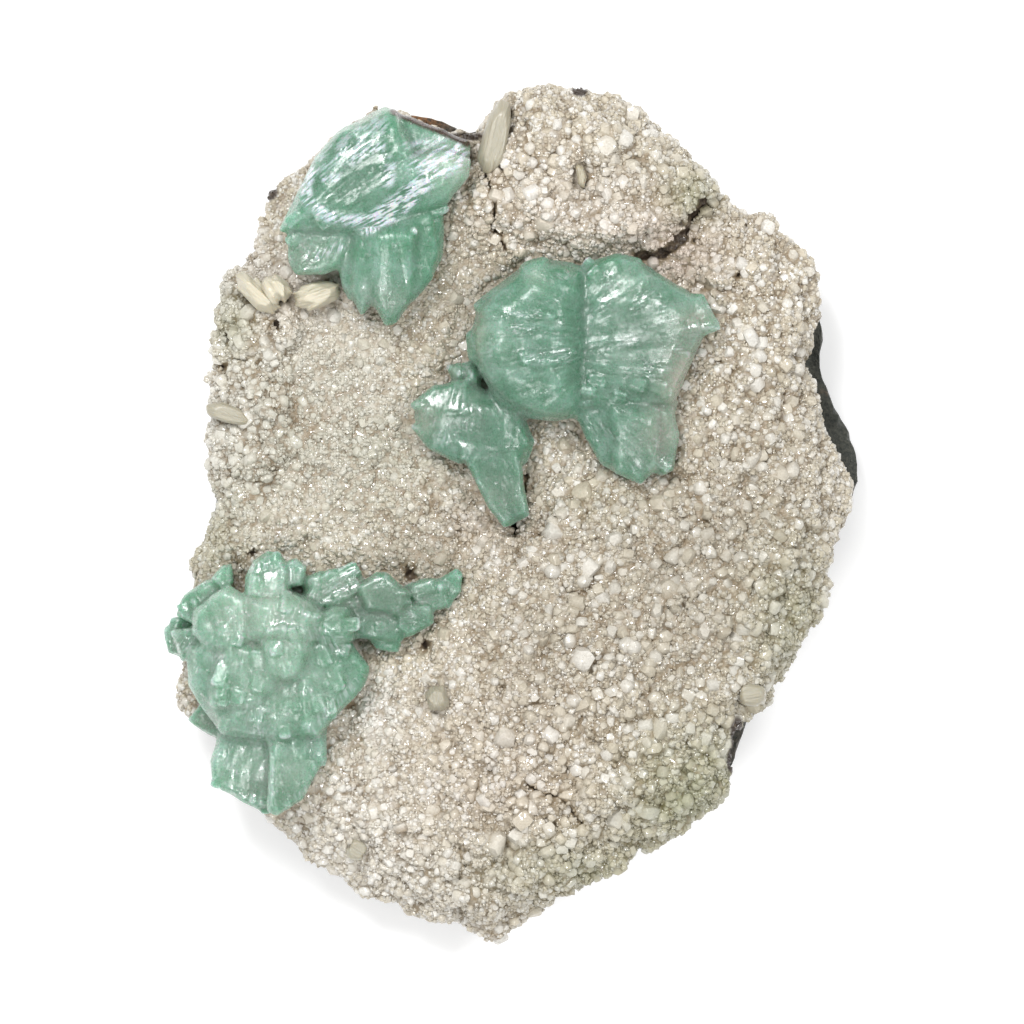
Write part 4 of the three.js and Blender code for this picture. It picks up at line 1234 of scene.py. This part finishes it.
class SPECIMEN_OT_apophyllite(bpy.types.Operator):
    """Builds the three clusters of green apophyllite"""

    bl_idname = "specimen.apophyllite"
    bl_label = "Apophyllite"

    def execute(self, context):
        """Builds each cluster and stores on it what its material reads."""
        settings = context.scene.specimen_apophyllite
        material = apophyllite_material(settings)
        random = np.random.default_rng(3)
        for place in ("upper_left", "centre", "lower_left"):
            node = "apophyllite_" + place
            mesh = apophyllite_skin(node, settings, random)
            points, normals = mesh_points(mesh)
            eased = mesh_points(smoothed(mesh.copy(), EDGE_SMOOTHING))[0]
            paint_points(
                mesh,
                # Edge: how far a vertex stands out of the eased mesh, which places the painted highlight on
                # ridges and the painted shade in creases
                edge=((points - eased) * normals).sum(axis=1) / (0.15 * MM),
                # Side: how steep a face is, for the painted light on steep faces
                side=1 - smooth(0.1, 0.75, normals[:, 2]),
                ray=fan_rays(points),
                depth=zone_share(points, DEEP_ZONES),
                milk=zone_share(points, MILKY_ZONES),
                smoke=zone_share(points, SMOKY_ZONES),
                # Glint: where painted highlights and a glossier coat go
                glint=band_share(points, GLINTS),
                # Sheen: the painted highlight bands, on upward faces only
                sheen=band_share(points, SHEENS) * smooth(0.05, 0.35, normals[:, 2]),
                # Light: where the crystal is painted brighter or duller
                light=zone_share(points, CRYSTAL_BRIGHT_ZONES) - zone_share(points, CRYSTAL_DULL_ZONES),
                thin=zone_share(points, THIN_ZONES),
                stain=band_share(points, [(line, width, 1.0) for line, width in STAINS]),
            )
            add_piece("apophyllite_crystals_" + place, mesh, material, [node], crease=28)
        return {"FINISHED"}


# ------------------------------------------------------------------ stilbite


def long_axis(points):
    """The direction, seen from above, in which some points reach farthest."""
    run = points[:, :2] - points[:, :2].mean(axis=0)
    return np.linalg.svd(run, full_matrices=False)[2][0]


def sheaf_leaves(node, count, random):
    """Thin leaves that fan out of a CAD sheaf, each within its reach."""
    corners, _ = node_shape(node)
    middle = (corners.min(axis=0) + corners.max(axis=0)) / 2
    axis = long_axis(corners)
    run = corners[:, :2] - middle[:2]
    reach = np.abs(run @ axis).max()
    width = np.abs(run @ np.array((-axis[1], axis[0]))).max()
    rise = corners[:, 2].max() - middle[2]
    leaves = []
    for turn in np.linspace(-1, 1, count):
        angle = math.atan2(axis[1], axis[0]) + 0.16 * turn + random.normal(0, 0.05)
        along = np.array((math.cos(angle), math.sin(angle), 0.0))
        across = np.array((-along[1], along[0], 0.0))
        shape, faces = grain_template(int(random.integers(1000)), 40, 0.0)
        length_share, rise_share = random.uniform(0.8, 1.0), random.uniform(1.0, 1.25)
        spans = 2 * np.array((reach * length_share, 0.3 * width, rise * rise_share))
        place = middle + across * (0.62 * width * turn) - UP * 0.1 * rise * abs(turn)
        leaves.append(((shape * spans) @ np.array((along, across, UP)) + place, faces))
    return leaves


class SPECIMEN_OT_stilbite(bpy.types.Operator):
    """Builds the cream stilbite blades and sheaves"""

    bl_idname = "specimen.stilbite"
    bl_label = "Stilbite"

    def execute(self, context):
        """Builds each blade or sheaf in the place of its CAD node."""
        settings = context.scene.specimen_stilbite
        material = stilbite_material(settings)
        random = np.random.default_rng(12)
        nodes = sorted(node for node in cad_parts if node.startswith("stilbite"))
        for seed, node in enumerate(nodes):
            mesh = self.blade(node, seed, settings, random)
            name = node.replace("stilbite", "stilbite_cream")
            add_piece(name, mesh, material, [node], crease=35)
        return {"FINISHED"}

    @staticmethod
    def blade(node, seed, settings, random):
        """One blade or sheaf: flat on top, round at its sides, with lengthwise ridges."""
        is_sheaf = "sheaf" in node
        leaves = sheaf_leaves(node, settings.leaves, random) if is_sheaf else []
        mesh = skin(node, [node_shape(node), *leaves], settings.skin_cell)
        mesh = smoothed(mesh, BLADE_SMOOTHING if "blade" in node else SHEAF_SMOOTHING)
        points, normals = mesh_points(mesh)
        low, high = points[:, 2].min(), points[:, 2].max()
        share_up = (points[:, 2] - low) / (high - low)
        if not is_sheaf:
            points[:, 2] = low + (high - low) * (1 - (1 - share_up) ** 1.8)
        axis = long_axis(points)
        run = points[:, :2] - points[:, :2].mean(axis=0)
        along = run @ axis
        across = run @ np.array((-axis[1], axis[0]))
        lengthwise = np.column_stack([across, along / 9, np.full(len(points), seed * 5 * MM)])
        ridges = rolling(lengthwise, settings.ridge_pitch, seed)
        end = smooth(0.6, 1.0, np.abs(along) / np.abs(along).max())
        notch = rolling(lengthwise, settings.ridge_pitch * 1.4, seed + 20)
        upper = smooth(-0.3, 0.3, normals[:, 2])
        points += normals * (settings.ridge_height * (ridges - 0.5) * upper)[:, None]
        shift = 0.45 * MM * (notch - 0.6) * end * np.sign(along)
        points[:, :2] += shift[:, None] * axis
        sink_roots(points, normals, 1.2 * MM)
        move_points(mesh, points)
        paint_points(
            mesh,
            ray=lengthwise / MM,
            # Honey along the ragged ends, darker towards the blade's bottom, and on the honey-coloured leaf
            edge=0.6 * end * (0.5 + 0.5 * notch) + 0.5 * (1 - smooth(0.2, 0.7, share_up))
            + zone_share(points, HONEY_ZONES),
            pale=zone_share(points, PALE_SHEAF_ZONES),
        )
        return mesh


# ------------------------------------------------------------------ stage

FLOOR_WIDTH = 3.0
CRUST_LEVEL = 22 * MM
VIEW_MIDDLE = (-0.1 * MM, -0.1 * MM)
SENSOR_WIDTH = 36
# Softboxes: name, place and width in metres, and strength as a share of the key light's
LAMPS = [
    ("key", (-0.16, 0.3, 0.62), 0.22, 1.0),
    ("fill", (0.34, 0.06, 0.6), 0.18, 0.45),
    ("front", (-0.14, -0.34, 0.6), 0.18, 0.45),
]


class SPECIMEN_OT_stage(bpy.types.Operator):
    """Sets up the floor, the soft lights and the camera that looks straight down"""

    bl_idname = "specimen.stage"
    bl_label = "Stage"

    def execute(self, context):
        """Builds the stage; the camera's view is the given width at the crust's height."""
        settings = context.scene.specimen_stage
        scene = context.scene
        self.floor(scene, settings)
        self.sky(scene, settings)
        for name, place, size, strength in LAMPS:
            self.lamp(scene, name, place, size, strength * settings.key)
        camera = bpy.data.cameras.new("camera")
        camera.lens = settings.lens
        camera.sensor_width = SENSOR_WIDTH
        eye = bpy.data.objects.new("camera", camera)
        distance = settings.view_width * settings.lens / SENSOR_WIDTH
        eye.location = (*VIEW_MIDDLE, CRUST_LEVEL + distance)
        scene.collection.objects.link(eye)
        scene.camera = eye
        scene.view_settings.view_transform = "Standard"
        return {"FINISHED"}

    @staticmethod
    def floor(scene, settings):
        """A wide square floor that the specimen lies on."""
        half = FLOOR_WIDTH / 2
        corners = [(-half, -half, 0), (half, -half, 0), (half, half, 0), (-half, half, 0)]
        mesh = bpy.data.meshes.new("floor")
        mesh.from_pydata(corners, [], [(0, 1, 2, 3)])
        mesh.materials.append(floor_material(settings))
        floor = bpy.data.objects.new("floor", mesh)
        scene.collection.objects.link(floor)

    @staticmethod
    def sky(scene, settings):
        """White light from all around."""
        world = bpy.data.worlds.new("soft_sky")
        world.use_nodes = True
        background = world.node_tree.nodes["Background"]
        background.inputs["Color"].default_value = WHITE
        background.inputs["Strength"].default_value = settings.sky
        scene.world = world

    @staticmethod
    def lamp(scene, name, place, size, power):
        """A square softbox that faces the specimen."""
        data = bpy.data.lights.new(name, "AREA")
        data.size = size
        data.energy = power
        lamp = bpy.data.objects.new(name, data)
        lamp.location = place
        lamp.rotation_euler = (-Vector(place)).to_track_quat("-Z", "Y").to_euler()
        scene.collection.objects.link(lamp)


# ------------------------------------------------------------------ the add-on

SETTINGS = {
    "specimen_basalt": BasaltSettings,
    "specimen_druse": DruseSettings,
    "specimen_apophyllite": ApophylliteSettings,
    "specimen_stilbite": StilbiteSettings,
    "specimen_stage": StageSettings,
}
OPERATORS = [
    SPECIMEN_OT_basalt, SPECIMEN_OT_druse, SPECIMEN_OT_apophyllite, SPECIMEN_OT_stilbite, SPECIMEN_OT_stage,
]


class SPECIMEN_PT_panel(bpy.types.Panel):
    """Lists the specimen's pieces and their settings"""

    bl_idname = "SPECIMEN_PT_panel"
    bl_label = "Apophyllite Cluster"
    bl_space_type = "VIEW_3D"
    bl_region_type = "UI"
    bl_category = "Specimen"

    def draw(self, context):
        """A box for each kind of piece: its operator and its settings."""
        for operator, (name, group) in zip(OPERATORS, SETTINGS.items()):
            box = self.layout.box()
            box.operator(operator.bl_idname)
            for key in group.__annotations__:
                box.prop(getattr(context.scene, name), key)


def register():
    """Adds the operators, the panel and a group of settings for each kind of piece."""
    for group in [*SETTINGS.values(), *OPERATORS, SPECIMEN_PT_panel]:
        bpy.utils.register_class(group)
    for name, group in SETTINGS.items():
        setattr(bpy.types.Scene, name, PointerProperty(type=group))


def unregister():
    """Takes away all that register adds."""
    for name in SETTINGS:
        delattr(bpy.types.Scene, name)
    for group in reversed([*SETTINGS.values(), *OPERATORS, SPECIMEN_PT_panel]):
        bpy.utils.unregister_class(group)


def main():
    """Builds the whole specimen and its stage."""
    register()
    bpy.ops.specimen.basalt()
    bpy.ops.specimen.druse()
    bpy.ops.specimen.apophyllite()
    bpy.ops.specimen.stilbite()
    bpy.ops.specimen.stage()


if __name__ == "__main__":
    main()
